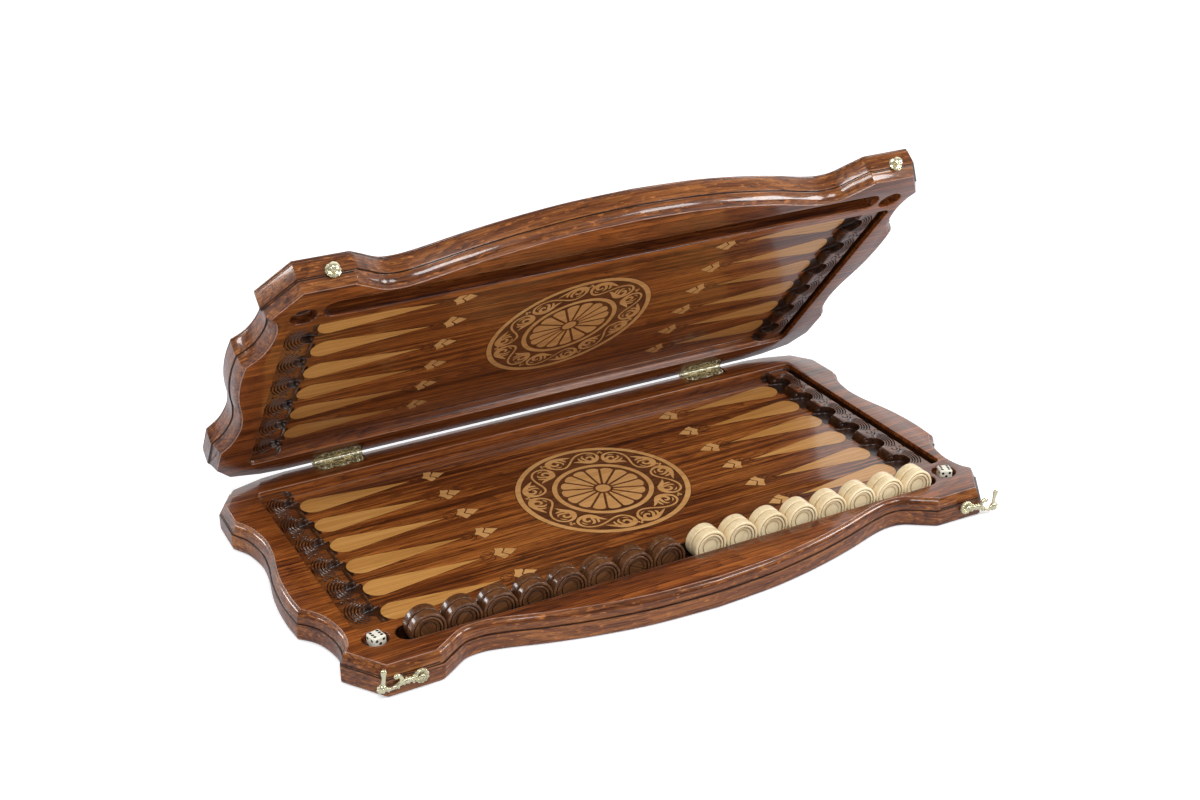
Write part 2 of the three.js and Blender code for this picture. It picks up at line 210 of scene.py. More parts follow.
def smooth(points, spacing):
    """Centripetal Catmull-Rom curve through the points, resampled evenly"""
    points = [np.array(p, float) for p in points]
    points = [2 * points[0] - points[1]] + points + [2 * points[-1] - points[-2]]
    dense = []
    for i in range(1, len(points) - 2):
        near = points[i - 1:i + 3]
        knots = [0.0]
        for k in range(3):
            knots.append(knots[-1] + np.linalg.norm(near[k + 1] - near[k]) ** 0.5)
        for t in np.linspace(knots[1], knots[2], 24, endpoint=False):
            row = near
            for spans in (((0, 1), (1, 2), (2, 3)), ((0, 2), (1, 3)), ((1, 2),)):
                blended = []
                for k, (first, last) in enumerate(spans):
                    low, high = knots[first], knots[last]
                    blended.append((high - t) / (high - low) * row[k]
                                   + (t - low) / (high - low) * row[k + 1])
                row = blended
            dense.append(row[0])
    dense.append(points[-2])
    dense = np.array(dense)
    steps = np.linalg.norm(np.diff(dense, axis=0), axis=1)
    run = np.concatenate([[0], np.cumsum(steps)])
    count = max(int(round(run[-1] / spacing)), 2)
    return [tuple(float(np.interp(s, run, column)) for column in dense.T)
            for s in np.linspace(0, run[-1], count + 1)]


def left_normal(points, i):
    """Unit normal to the left of an open polyline at point i"""
    before = points[max(i - 1, 0)]
    after = points[min(i + 1, len(points) - 1)]
    along_x, along_y = after[0] - before[0], after[1] - before[1]
    length = math.hypot(along_x, along_y)
    return -along_y / length, along_x / length


def stroke(stations, spacing=0.35):
    """Outline of a brush stroke through stations of (x, y, half width)"""
    points = smooth(stations, spacing)
    left, right = [], []
    for i, (x, y, half) in enumerate(points):
        normal_x, normal_y = left_normal(points, i)
        half = max(half, 0.05)
        left.append((x + normal_x * half, y + normal_y * half))
        right.append((x - normal_x * half, y - normal_y * half))
    return left + right[::-1]


def signed_area(points):
    following = points[1:] + points[:1]
    return sum(p[0] * q[1] - q[0] * p[1] for p, q in zip(points, following))


def mitres(points, limit):
    """Corner offsets that grow a counter-clockwise outline by one"""
    offsets = []
    for i, here in enumerate(points):
        before, after = points[i - 1], points[(i + 1) % len(points)]
        first = Vector((here[1] - before[1], before[0] - here[0])).normalized()
        second = Vector((after[1] - here[1], here[0] - after[0])).normalized()
        middle = (first + second).normalized()
        stretch = min(1 / middle.dot(first), limit)
        offsets.append((middle.x * stretch, middle.y * stretch))
    return offsets


def grown(points, grow):
    if signed_area(points) < 0:
        grow = -grow
    return [(x + off_x * grow, y + off_y * grow)
            for (x, y), (off_x, off_y) in zip(points, mitres(points, 1.8))]


# --------------------------------------------------------------- basic shapes
def loft(rings):
    """Closed skin over rings of equal length, capped at both ends"""
    count = len(rings[0])
    verts = [p for ring in rings for p in ring]
    faces = []
    for start in range(0, len(verts) - count, count):
        end = start + count
        for i in range(count):
            j = (i + 1) % count
            faces.append((start + i, end + i, end + j, start + j))
    faces.append(tuple(range(count)))
    faces.append(tuple(reversed(range(len(verts) - count, len(verts)))))
    return verts, faces


def band(start, end, count):
    """Quads between two rings of vertices whose indices begin at start and end"""
    return [(start + i, start + (i + 1) % count, end + (i + 1) % count, end + i)
            for i in range(count)]


def hoop(rings):
    """Skin over rings where the last joins the first"""
    count = len(rings[0])
    faces = []
    for k in range(len(rings)):
        faces += band(k * count, (k + 1) % len(rings) * count, count)
    return [p for ring in rings for p in ring], faces


def stack(levels):
    """Solid through plan outlines, each with its height"""
    return solid(*loft([[(x, y, z) for x, y in outline] for outline, z in levels]))


def well(shape, floor, top, r_floor, r_top, up=4.0):
    """A cutter with a filleted floor and a rounded mouth. shape(grow) gives the
    plan outline grown outwards by that much"""
    levels = []
    steps = [math.pi / 2 * i / 5 for i in range(6)]
    for a in steps:
        levels.append((shape(-r_floor * (1 - math.sin(a))), floor + r_floor * (1 - math.cos(a))))
    for a in steps:
        levels.append((shape(r_top * (1 - math.cos(a))), top - r_top * (1 - math.sin(a))))
    levels.append((shape(r_top), top + up))
    return stack(levels)


def plate(outline, z0, z1):
    """A thin prism of a plan outline"""
    points = list(outline)
    count = len(points)
    if signed_area(points) < 0:
        points.reverse()
    verts = [(x, y, z1) for x, y in points] + [(x, y, z0) for x, y in points]
    faces = []
    for tri in tessellate_polygon([[Vector((x, y, 0)) for x, y in points]]):
        i, j, k = tri
        if signed_area([points[i], points[j], points[k]]) < 0:
            i, k = k, i
        faces.append((i, j, k))
        faces.append((count + k, count + j, count + i))
    for i in range(count):
        j = (i + 1) % count
        faces.append((i, count + i, count + j, j))
    return new_object(verts, faces)


def lathe(profile, seg):
    """Profile of (radius, z) turned about Z, on the axis at both ends"""
    verts, rows = [], []
    for radius, z in profile:
        size = 1 if radius < 1e-9 else seg
        rows.append(list(range(len(verts), len(verts) + size)))
        if size == 1:
            verts.append((0, 0, z))
        else:
            verts += [(x, y, z) for x, y in circle(0, 0, radius, seg)]
    faces = []
    for low, high in zip(rows, rows[1:]):
        for i in range(seg):
            j = (i + 1) % seg
            if len(low) == len(high) == 1:
                continue
            if len(low) == 1:
                faces.append((low[0], high[i], high[j]))
            elif len(high) == 1:
                faces.append((low[i], high[0], low[j]))
            else:
                faces.append((low[i], high[i], high[j], low[j]))
    return verts, faces


def box(x0, x1, y0, y1, z0, z1):
    verts = [(x, y, z) for x in (x0, x1) for y in (y0, y1) for z in (z0, z1)]
    return solid(verts, [(0, 1, 3, 2), (4, 6, 7, 5), (0, 4, 5, 1),
                         (2, 3, 7, 6), (0, 2, 6, 4), (1, 5, 7, 3)])


def ball(center, radius, squash=1.0, seg=20):
    angles = [math.pi * i / 12 for i in range(13)]
    profile = [(radius * math.sin(a), -radius * squash * math.cos(a)) for a in angles]
    profile[0], profile[-1] = (0, profile[0][1]), (0, profile[-1][1])
    obj = solid(*lathe(profile, seg))
    obj.data.transform(Matrix.Translation(Vector(center) * MM))
    return obj


def sweep(stations, seg=14, spacing=0.45, flat=1.0):
    """Round-ended limb through stations of (x, y, z, radius); flat squashes it
    across the curve, in the direction nearest to z"""
    stations = smooth(stations, spacing)
    last = len(stations) - 1
    verts, faces, tangents = [], [], []
    for i, (x, y, z, radius) in enumerate(stations):
        before = Vector(stations[max(i - 1, 0)][:3])
        after = Vector(stations[min(i + 1, last)][:3])
        tangent = (after - before).normalized()
        tangents.append(tangent)
        wide = tangent.cross(Vector((0, 0, 1)))
        wide.normalize()
        high = wide.cross(tangent).normalized()
        for k in range(seg):
            a = 2 * math.pi * k / seg
            verts.append(Vector((x, y, z)) + wide * radius * math.cos(a)
                         + high * radius * flat * math.sin(a))
    for i in range(last):
        faces += band(i * seg, (i + 1) * seg, seg)
    for i, sign in ((0, -1), (last, 1)):
        center, radius = Vector(stations[i][:3]), stations[i][3]
        outward = tangents[i] * sign
        base = previous = i * seg
        for reach in (0.5, 0.87):
            start = len(verts)
            shrink = math.sqrt(1 - reach * reach)
            verts += [center + (verts[base + k] - center) * shrink + outward * radius * reach * 0.9
                      for k in range(seg)]
            faces += band(previous, start, seg)
            previous = start
        tip = len(verts)
        verts.append(center + outward * radius * 0.95)
        faces += [(previous + k, previous + (k + 1) % seg, tip) for k in range(seg)]
    return solid(verts, faces)


# ------------------------------------------------------------------ materials
class Graph:
    """Shader nodes of a material or world"""

    def __init__(self, tree):
        self.tree = tree

    def feed(self, node, inputs):
        """Link or set inputs, given by name or index"""
        for key, value in inputs.items():
            socket = node.inputs[key]
            if isinstance(value, bpy.types.NodeSocket):
                self.tree.links.new(value, socket)
            elif socket.type == "RGBA":
                socket.default_value = (*value, 1)
            else:
                socket.default_value = value

    def add(self, kind, inputs={}, **settings):
        node = self.tree.nodes.new(kind)
        for key, value in settings.items():
            setattr(node, key, value)
        self.feed(node, inputs)
        return node

    def calc(self, operation, first, second, clamp=False):
        return self.add("ShaderNodeMath", {0: first, 1: second},
                        operation=operation, use_clamp=clamp).outputs[0]

    def plus(self, first, second):
        return self.calc("ADD", first, second)

    def scaled(self, value, factor):
        return self.calc("MULTIPLY", value, factor)

    def centred(self, value, factor):
        """A 0..1 value moved to run about zero, then scaled"""
        return self.scaled(self.calc("SUBTRACT", value, 0.5), factor)

    def noise(self, vector, scale, detail, rough):
        return self.add("ShaderNodeTexNoise", {
            "Vector": vector, "Scale": scale, "Detail": detail, "Roughness": rough,
            "Distortion": 0.0}).outputs["Fac"]

    def ramp(self, value, stops):
        node = self.add("ShaderNodeValToRGB", {0: value})
        elements = node.color_ramp.elements
        while len(elements) > 1:
            elements.remove(elements[-1])
        elements[0].position = stops[0][0]
        elements[0].color = (*stops[0][1], 1)
        for position, color in stops[1:]:
            elements.new(position).color = (*color, 1)
        return node.outputs[0]

    def mask(self, value, low, high):
        return self.ramp(value, [(low, (0, 0, 0)), (high, (1, 1, 1))])

    def mix(self, factor, first, second):
        return self.add("ShaderNodeMix", {0: factor, 6: first, 7: second},
                        data_type="RGBA").outputs[2]

    def bump(self, height, distance, strength):
        return self.add("ShaderNodeBump", {
            "Height": height, "Distance": distance, "Strength": strength}).outputs[0]


class Material(Graph):
    def __init__(self, name):
        self.material = bpy.data.materials.new(name)
        self.material.use_nodes = True
        super().__init__(self.material.node_tree)
        self.tree.nodes.clear()

    def object_coords(self):
        return self.add("ShaderNodeTexCoord").outputs["Object"]

    def surface(self, inputs):
        shader = self.add("ShaderNodeBsdfPrincipled", inputs)
        self.add("ShaderNodeOutputMaterial", {0: shader.outputs[0]})
        return self.material


LACQUER_BUMP = 0.00006        # metres


def wood(name, dark, middle, light, rough=0.3, coat=0.8, coat_rough=0.1, period=5.0,
         figure=0.6, pore=0.4, seed=0.0, vary=0.0, fleck=0.0, contrast=1.0, soft_y=1.0):
    """Lacquered wood with its fibres along X. period is the spacing of the growth
    lines in mm, figure the strength of the broad colour change, vary the shift of
    the pattern from object to object, soft_y a stretch of the pattern along Y"""
    mat = Material(name)
    plus, scaled = mat.plus, mat.scaled
    coords = mat.object_coords()
    if vary:
        shift = scaled(mat.add("ShaderNodeObjectInfo").outputs["Random"], vary)
        shift = mat.add("ShaderNodeCombineXYZ", {0: shift, 1: shift, 2: shift}).outputs[0]
        coords = mat.add("ShaderNodeVectorMath", {0: coords, 1: shift},
                         operation="ADD").outputs[0]

    def grain(along, across, offset, detail, rough):
        """Noise with its own frequency along and across the fibres"""
        mapping = mat.add("ShaderNodeMapping", {
            "Vector": coords, "Scale": (along, across * soft_y, across), "Location": offset})
        return mat.noise(mapping.outputs[0], scale=1.0, detail=detail, rough=rough)

    # growth lines, slowly warped so that they wander and form long arches
    warp = grain(along=2.2, across=9.0, offset=(seed, seed * 0.7, 1.3), detail=3.0, rough=0.5)
    axes = mat.add("ShaderNodeSeparateXYZ", {0: coords}).outputs
    lines = plus(scaled(axes[1], 1000.0 / period), scaled(axes[2], 260.0 / period))
    lines = plus(lines, scaled(warp, 34.0))
    jitter = grain(along=6.0, across=160.0, offset=(2.1, seed, 0), detail=4.0, rough=0.6)
    lines = plus(lines, scaled(jitter, 1.6))
    frac = mat.add("ShaderNodeMath", {0: lines}, operation="FRACT").outputs[0]
    ring = mat.calc("POWER", frac, 3.0)

    fibre = grain(along=14.0, across=900.0, offset=(seed, 3.1, 0.4), detail=5.0, rough=0.62)
    fine = grain(along=5.0, across=420.0, offset=(3.3, seed, 1.4), detail=4.0, rough=0.6)
    broad = grain(along=4.0, across=30.0, offset=(1.7, seed * 1.3, 0.2), detail=3.0, rough=0.5)
    streak = grain(along=3.0, across=170.0, offset=(seed, 0.9, 5.0), detail=3.0, rough=0.5)
    tone = plus(scaled(ring, -0.34 * figure), 0.60)
    # how strongly each layer moves the tone
    for layer, amount in ((fibre, 1.05 * contrast), (fine, 1.1 * contrast),
                          (broad, 0.9 * figure), (streak, 0.9 * contrast)):
        tone = plus(tone, mat.centred(layer, amount))
    color = mat.ramp(tone, [(0.10, dark), (0.52, middle), (0.92, light)])

    # short dark pores, and bright flecks where asked for
    pores = grain(along=60.0, across=1300.0, offset=(seed, 1.1, 9.0), detail=2.0, rough=0.5)
    pores = mat.mask(pores, low=0.56, high=0.68)
    color = mat.mix(scaled(pores, pore), color, tuple(c * 0.45 for c in dark))
    if fleck:
        flecks = grain(along=150.0, across=620.0, offset=(4.4, seed, 2.2), detail=2.0, rough=0.5)
        flecks = mat.mask(flecks, low=0.60, high=0.72)
        color = mat.mix(scaled(flecks, fleck), color, tuple(min(c * 1.7, 1) for c in light))

    # the lacquer levels most of the grain, but pores still telegraph through
    height = plus(scaled(fibre, 0.6), scaled(pores, -0.5))
    waves = grain(along=30.0, across=120.0, offset=(4.0, seed, 2.0), detail=2.0, rough=0.5)
    coat_height = plus(scaled(height, 0.35), scaled(waves, 0.8))
    return mat.surface({
        "Base Color": color,
        "Roughness": plus(scaled(fibre, 0.16), rough - 0.08),
        "Specular IOR Level": 0.35,
        "Normal": mat.bump(height, distance=LACQUER_BUMP * 1.6, strength=0.6),
        "Coat Weight": coat,
        "Coat IOR": 1.5,
        "Coat Normal": mat.bump(coat_height, distance=LACQUER_BUMP, strength=0.5),
        "Coat Roughness": plus(scaled(fibre, 0.08), coat_rough - 0.04)})


def metal(name, base, dark, rough, ao, metallic, scale=900.0, wear=0.5, cast=0.00008):
    """Cast or stamped brass: polished high spots, darker tarnish in the hollows.
    ao is the strength of the tarnish, wear its unevenness, cast the surface relief"""
    mat = Material(name)
    coords = mat.object_coords()
    fine = mat.noise(coords, scale=scale, detail=5.0, rough=0.6)
    patches = mat.noise(coords, scale=scale * 0.18, detail=3.0, rough=0.5)
    hollows = mat.add("ShaderNodeAmbientOcclusion", {"Distance": 0.0022},
                      samples=6, only_local=True)
    dirt = mat.calc("SUBTRACT", 1.0, hollows.outputs["AO"])
    dirt = mat.plus(dirt, mat.centred(patches, wear))
    dirt = mat.calc("MULTIPLY", dirt, 1.6 * ao, clamp=True)
    gloss = mat.plus(mat.scaled(fine, 0.22), rough - 0.08)
    return mat.surface({
        "Base Color": mat.mix(dirt, base, dark),
        "Metallic": metallic,
        "Roughness": mat.plus(gloss, mat.scaled(dirt, 0.25)),
        "Normal": mat.bump(fine, distance=cast, strength=0.7)})


def plastic(name, base, rough, speck):
    """speck is the depth of the darker clouding"""
    mat = Material(name)
    coords = mat.object_coords()
    fine = mat.noise(coords, scale=420.0, detail=4.0, rough=0.55)
    clouds = mat.noise(coords, scale=90.0, detail=2.0, rough=0.5)
    return mat.surface({
        "Base Color": mat.mix(clouds, tuple(c * (1 - speck * 2.2) for c in base), base),
        "Roughness": mat.plus(mat.scaled(fine, 0.1), rough - 0.05),
        "Subsurface Weight": 0.15,
        "Subsurface Radius": (0.002, 0.0015, 0.001),
        "Subsurface Scale": 0.5,
        "Normal": mat.bump(fine, distance=0.00001, strength=0.4)})


WALNUT = wood(
    "walnut_lacquer", dark=(0.036, 0.0072, 0.0018), middle=(0.165, 0.04, 0.007),
    light=(0.36, 0.105, 0.019), rough=0.34, coat=1.0, coat_rough=0.09, period=6.0,
    figure=0.75, pore=0.8, contrast=1.3)
FIELD = wood(
    "field_lacquer", dark=(0.042, 0.009, 0.002), middle=(0.195, 0.05, 0.009),
    light=(0.43, 0.143, 0.029), rough=0.36, coat=0.9, coat_rough=0.13, period=4.6,
    figure=1.0, pore=0.95, seed=3.0, contrast=1.6)
# dark wood that paints the shade in the carved hollows, on the low floors, in the base's trough
# and on the volutes
CARVED_SHADE = wood(
    "carved_painted_shade", dark=(0.006, 0.0022, 0.001), middle=(0.026, 0.008, 0.0028),
    light=(0.08, 0.024, 0.007), rough=0.4, coat=0.7, coat_rough=0.2, figure=0.8, seed=1.0)
STRIP = wood(
    "strip_lacquer", dark=(0.022, 0.006, 0.002), middle=(0.105, 0.028, 0.0065),
    light=(0.24, 0.072, 0.016), rough=0.34, coat=1.0, figure=0.8, pore=0.45, seed=2.0)
MOULD = wood(
    "moulding_lacquer", dark=(0.028, 0.0066, 0.002), middle=(0.15, 0.041, 0.0085),
    light=(0.34, 0.12, 0.026), coat=1.0, coat_rough=0.07, period=5.2, pore=0.7,
    seed=0.6, fleck=0.55, contrast=0.9, soft_y=0.22)
# lighter wood on rounded rim edges: partly wear where the lacquer is thin, partly a painted
# highlight where the edges catch the light
EDGE_WEAR_AND_HIGHLIGHT = wood(
    "worn_edge_painted_highlight", dark=(0.16, 0.062, 0.032), middle=(0.3, 0.14, 0.085),
    light=(0.46, 0.26, 0.18), coat=1.0, pore=0.3, seed=0.9)
INLAY = wood(
    "maple_inlay", dark=(0.27, 0.11, 0.026), middle=(0.52, 0.245, 0.062),
    light=(0.7, 0.38, 0.12), rough=0.38, coat_rough=0.15, period=3.4, figure=0.4,
    pore=0.15, seed=5.0, contrast=0.6)
PALE = wood(
    "maple_inlay_pale", dark=(0.33, 0.15, 0.045), middle=(0.6, 0.31, 0.105),
    light=(0.76, 0.45, 0.19), rough=0.38, coat_rough=0.15, period=3.0, figure=0.4,
    pore=0.12, seed=6.0, contrast=0.6)
STAIN = wood(
    "stained_ground", dark=(0.03, 0.0085, 0.0028), middle=(0.092, 0.029, 0.009),
    light=(0.19, 0.064, 0.018), rough=0.4, coat_rough=0.16, period=3.0, seed=7.5)
BURN = wood(
    "burned_line", dark=(0.01, 0.004, 0.002), middle=(0.03, 0.01, 0.004),
    light=(0.075, 0.024, 0.009), rough=0.45, coat=0.6, coat_rough=0.2, period=3.0,
    pore=0.3, seed=7.0)
# both woods of a checker share the pattern, so that only the tone changes in its grooves, where a
# darker copy paints the shade
LIGHT_GRAIN = dict(period=2.6, figure=0.45, pore=0.1, seed=8.0, vary=3.0, contrast=0.6)
DARK_GRAIN = dict(period=1.6, figure=0.45, pore=0.35, seed=9.0, vary=3.0, contrast=0.6)
LIGHT_CHECKER = wood(
    "light_checker", dark=(0.6, 0.435, 0.23), middle=(0.88, 0.705, 0.43),
    light=(0.95, 0.82, 0.57), rough=0.36, coat=0.55, coat_rough=0.14, **LIGHT_GRAIN)
DARK_CHECKER = wood(
    "dark_checker", dark=(0.02, 0.0078, 0.0034), middle=(0.098, 0.037, 0.014),
    light=(0.25, 0.108, 0.042), coat_rough=0.12, **DARK_GRAIN)
# darker copies of the checker woods, painting the shade in the checkers' turned grooves
LIGHT_GROOVE_SHADE = wood(
    "light_checker_groove_shade", dark=(0.23, 0.14, 0.062), middle=(0.4, 0.265, 0.13),
    light=(0.56, 0.4, 0.22), rough=0.45, coat=0.3, coat_rough=0.2, **LIGHT_GRAIN)
DARK_GROOVE_SHADE = wood(
    "dark_checker_groove_shade", dark=(0.005, 0.002, 0.001), middle=(0.014, 0.0055, 0.0026),
    light=(0.05, 0.02, 0.0085), **DARK_GRAIN)
IVORY = plastic("ivory_plastic", base=(0.86, 0.82, 0.70), rough=0.28, speck=0.04)
PIP = plastic("pip_black", base=(0.012, 0.011, 0.010), rough=0.35, speck=0.1)
GOLD = metal("pale_gold_casting", base=(0.95, 0.90, 0.62), dark=(0.30, 0.24, 0.10),
             rough=0.17, ao=0.45, metallic=0.78)
ANTIQUE = metal("antique_brass", base=(0.62, 0.50, 0.25), dark=(0.030, 0.021, 0.009),
                rough=0.30, ao=1.1, metallic=0.75, scale=1500.0, wear=1.8, cast=0.00016)
PINBRASS = metal("bright_brass", base=(1.0, 0.94, 0.70), dark=(0.30, 0.24, 0.12),
                 rough=0.22, ao=0.5, metallic=0.6)

# ------------------------------------------------------------------ the trays
# right half of the rim from front centre to back centre: (1 for a smooth beaded run or
# 0 for a straight plain one, how far the side stands out below the rim, (x, y) points)
RIM_RUNS = [
    (1, 6.0, [(0, -180), (23.8, -178.9), (56.9, -176.4), (95, -169.9), (131.8, -160.9),
              (166.7, -150.1), (182.9, -147.2), (197.6, -149), (213.8, -159.1), (222.6, -165.0)]),
    (0, 5.0, [(223.2, -165.5), (260.3, -165.5)]),
    (0, 5.6, [(260.3, -165.5), (279, -137.5)]),
    (1, 5.6, [(278.7, -136.6), (274.7, -129.6), (272.2, -115.2), (273.6, -100.1),
              (277.9, -85.3), (283.7, -75.6), (288.5, -70.3)]),
    (1, 5.6, [(289.1, -69.8), (290.2, -51.5), (289.4, -28.8), (286.9, -9.7), (282.2, 12.6),
              (280.1, 34.2), (281.5, 49), (285.1, 64.1), (291.5, 76.6)]),
    (0, 5.6, [(292, 77.4), (291.6, 110.5)]),
    (0, 5.2, [(291.6, 110.5), (278.6, 129.6)]),
    (0, 4.0, [(278.6, 129.6), (252, 137.9)]),
    (0, 1.6, [(252, 137.9), (232, 140.3), (0, 140.3)]),
]


def rim_outline():
    """Whole rim, counter-clockwise, as rows of (x, y, stand-out, beaded)"""
    right = []
    for beaded, out, points in RIM_RUNS:
        if beaded:
            points = smooth(points, 2.2)
        for x, y in points:
            if right and math.hypot(right[-1][0] - x, right[-1][1] - y) < 0.05:
                right[-1][2] = (right[-1][2] + out) / 2
            else:
                right.append([x, y, out, beaded])
    return right + [[-x, y, out, beaded] for x, y, out, beaded in right[1:-1][::-1]]


def side_profile(y, out, beaded, is_lid):
    """(outwards, down) from the rim to the underside"""
    if beaded:
        rows = [(0, 0), (0.20, 0.05), (0.38, 0.20), (0.46, 0.44), (0.48, 0.85)]
        for i in range(9):
            a = rad(90 * i / 8)
            rows.append((0.60 + 3.9 * math.sin(a), 0.95 + 8.6 * (1 - math.cos(a))))
        steps = (-0.35, -0.30)
    else:
        rows = [(0, 0), (0.2, 0.06), (0.38, 0.22), (0.48, 0.45), (0.56, 0.8)]
        fall = 4.5 if y > 120 else 9.0
        for i in range(9):
            t = (i + 1) / 9
            rows.append((0.56 + (out - 1.96) * t, 0.8 + (fall - 0.8) * t))
        steps = (0, 0.05)
    x, down = rows[-1]
    foot = RIM_Z + (LID_EXTRA if is_lid else EXTRA)
    rows += [(x + steps[0], down + 0.30), (x + steps[1], down + 0.62),
             (out - 0.35, down + 0.72), (out - 0.08, down + 0.85), (out, down + 1.2),
             (out, foot - 5.0)]
    if is_lid:
        # a shallow bead round the outer face
        ease = [(0, 3.1), (0.12, 2.75), (0.55, 2.6), (0.62, 2.35), (0.35, 2.05), (0.2, 1.5),
                (0.35, 0.95), (0.8, 0.45), (1.4, 0.12), (2.0, 0)]
    else:
        ease = [(0, 2.2), (0.25, 1.55), (1.5, 0.25), (2.0, 0)]
    return rows + [(out - inset, foot - above) for inset, above in ease]


def pocket(x0, x1, y0, y1, corner):
    return lambda grow: rounded_rectangle(x0 - grow, x1 + grow, y0 - grow, y1 + grow,
                                          corner + grow)


def field_cutter():
    """Playing field, with a cove up to the strips at both ends"""
    def shape(grow):
        return rounded_rectangle(-STRIP_X0 - grow, STRIP_X0 + grow, FIELD_Y0, FIELD_Y1, 2.5)
    cove = 8.5
    levels = [(shape(-0.6), FIELD_Z), (shape(-0.2), FIELD_Z + 0.15)]
    for i in range(11):
        a = rad(9 * i)
        levels.append((shape(cove * (1 - math.cos(a))), FIELD_Z + 0.7 + 5.8 * math.sin(a)))
    return stack(levels + [(shape(cove), BAND_Z + 0.4)])


def groove_cutter(side):
    """Long groove along one strip; its mouth widens only towards the board's centre...
    in x it grows on the side of the smaller |x|'s opposite edge given below"""
    x0, x1 = sorted((side * GROOVE_X0, side * GROOVE_X1))

    def shape(grow):
        less = min(grow, 0)
        low, high = (grow, less) if side > 0 else (less, grow)
        return rounded_rectangle(x0 - low, x1 + high, -111.8 - grow, 111.0 + grow, 3.2 + less)
    return well(shape, FIELD_Z, BAND_Z, r_floor=1.2, r_top=0.7, up=0.4)


def bay(side, y, grow):
    """Round bay whose mouth flares out to the field"""
    radius = BAY_R + grow
    half = [polar(BAY_X, 0, radius, rad(a)) for a in range(0, 95, 6)]
    lip = 3.8 - grow
    half += [(BAY_X - 0.4 - lip * math.sin(rad(a)), radius + lip - lip * math.cos(rad(a)))
             for a in range(6, 66, 10)]
    half.append((BAY_X - 8.0, half[-1][1] + 1.2))
    points = [(x, -v) for x, v in half[:0:-1]] + half
    return [(side * x, y + v) for x, v in points]


def engraving(points, half, depth):
    """V-shaped cutter along a polyline on top of a strip, tapered at its ends"""
    over = 0.6
    last = len(points) - 1
    verts, faces = [], []
    for i, (x, y) in enumerate(points):
        normal_x, normal_y = left_normal(points, i)
        ease = min(1.0, 0.25 + 0.75 * min(i, last - i) / max(len(points) * 0.12, 1))
        wide = half * ease * (1 + over / (depth * ease))
        verts += [(x + normal_x * wide, y + normal_y * wide, BAND_Z + over),
                  (x, y, BAND_Z - depth * ease),
                  (x - normal_x * wide, y - normal_y * wide, BAND_Z + over)]
    for i in range(last):
        faces += band(3 * i, 3 * i + 3, 3)
    faces += [(2, 1, 0), (3 * last, 3 * last + 1, 3 * last + 2)]
    return solid(verts, faces)


# arcs round each bay: (radius, half span in degrees, half width)
ARCS_GROOVED = [(11.4, 66, 0.70), (13.6, 64, 0.78), (15.9, 60, 0.78), (18.2, 52, 0.66)]
ARCS_PLAIN = [(11.4, 66, 0.70), (13.8, 66, 0.80), (16.4, 62, 0.84), (19.0, 56, 0.80),
              (21.4, 44, 0.66)]


def carving(side, grooved):
    """Arcs round each bay, curls and short lines between neighbouring bays, in
    groups whose cuts do not touch each other"""
    middle = 0 if side > 0 else 180
    arcs, curls, lines = [], [], []
    for y in POINT_Y:
        for radius, span, half in ARCS_GROOVED if grooved else ARCS_PLAIN:
            count = int(2 * span / 3)
            points = [polar(side * BAY_X, y, radius, rad(middle - span + 2 * span * i / count))
                      for i in range(count + 1)]
            arcs.append(engraving(points, half, depth=0.95))
    for point_y in POINT_Y[:-1]:
        y = point_y - PITCH / 2
        for x, radius, start, end in ((257.2, 1.9, -60, 215), (249.8, 2.3, 120, 400)):
            points = [polar(x, y, radius, rad(a)) for a in range(start, end + 1, 11)]
            curls.append(engraving([(side * px, py) for px, py in points], half=0.55, depth=0.8))
        for up in (-1, 1):
            line = smooth([(253.6, 1.6), (253.2, 3.6), (251.2, 5.0), (248.4, 5.4)], 0.7)
            points = [(side * x, y + up * v) for x, v in line]
            lines.append(engraving(points, half=0.5, depth=0.75))
    return [join(arcs), join(curls), join(lines)]


def cut_end(obj, side, is_lid):
    """Everything cut into one end of a tray. The groove comes to lie on the right
    in both trays, as the lid is turned over"""
    grooved = side == (-1 if is_lid else 1)
    if grooved:
        cut(obj, groove_cutter(side))
    bays = [well(lambda grow: bay(side, y, grow), FIELD_Z - 0.6, BAND_Z,
                 r_floor=1.6, r_top=0.9, up=0.4) for y in POINT_Y]
    bays.append(well(lambda grow: circle(side * 236.6, 109.8, 3.2 + grow, 32), FIELD_Z - 0.5,
                     BAND_Z, r_floor=1.2, r_top=0.6, up=0.4))
    cut(obj, join(bays))
    cut(obj, well(lambda grow: circle(side * DIE_X, DIE_Y, 10 + grow, 64), DIE_BAY_Z, RIM_Z,
                  r_floor=1.5, r_top=0.8))
    # seat of the hinge leaf
    cut(obj, box(side * HINGE_X - 21.4, side * HINGE_X + 21.4, 126.0, 144, 18.7, 25))
    # hole for the hook screw or the knob
    x, z = (-KNOB_X[-side], 2 * HALF_T - KNOB_Z) if is_lid else (HOOK_X[side], HOOK_Z)
    hole = solid(*lathe([(0, -12), (1.65, -12), (1.65, 12), (0, 12)], 20))
    hole.data.transform(at(x, FLAT_Y + 1, z) @ TO_FRONT)
    cut(obj, hole)
    for cutter in carving(side, grooved):
        cut(obj, cutter)


TRAY_WOODS = (WALNUT, FIELD, CARVED_SHADE, STRIP, MOULD, EDGE_WEAR_AND_HIGHLIGHT)


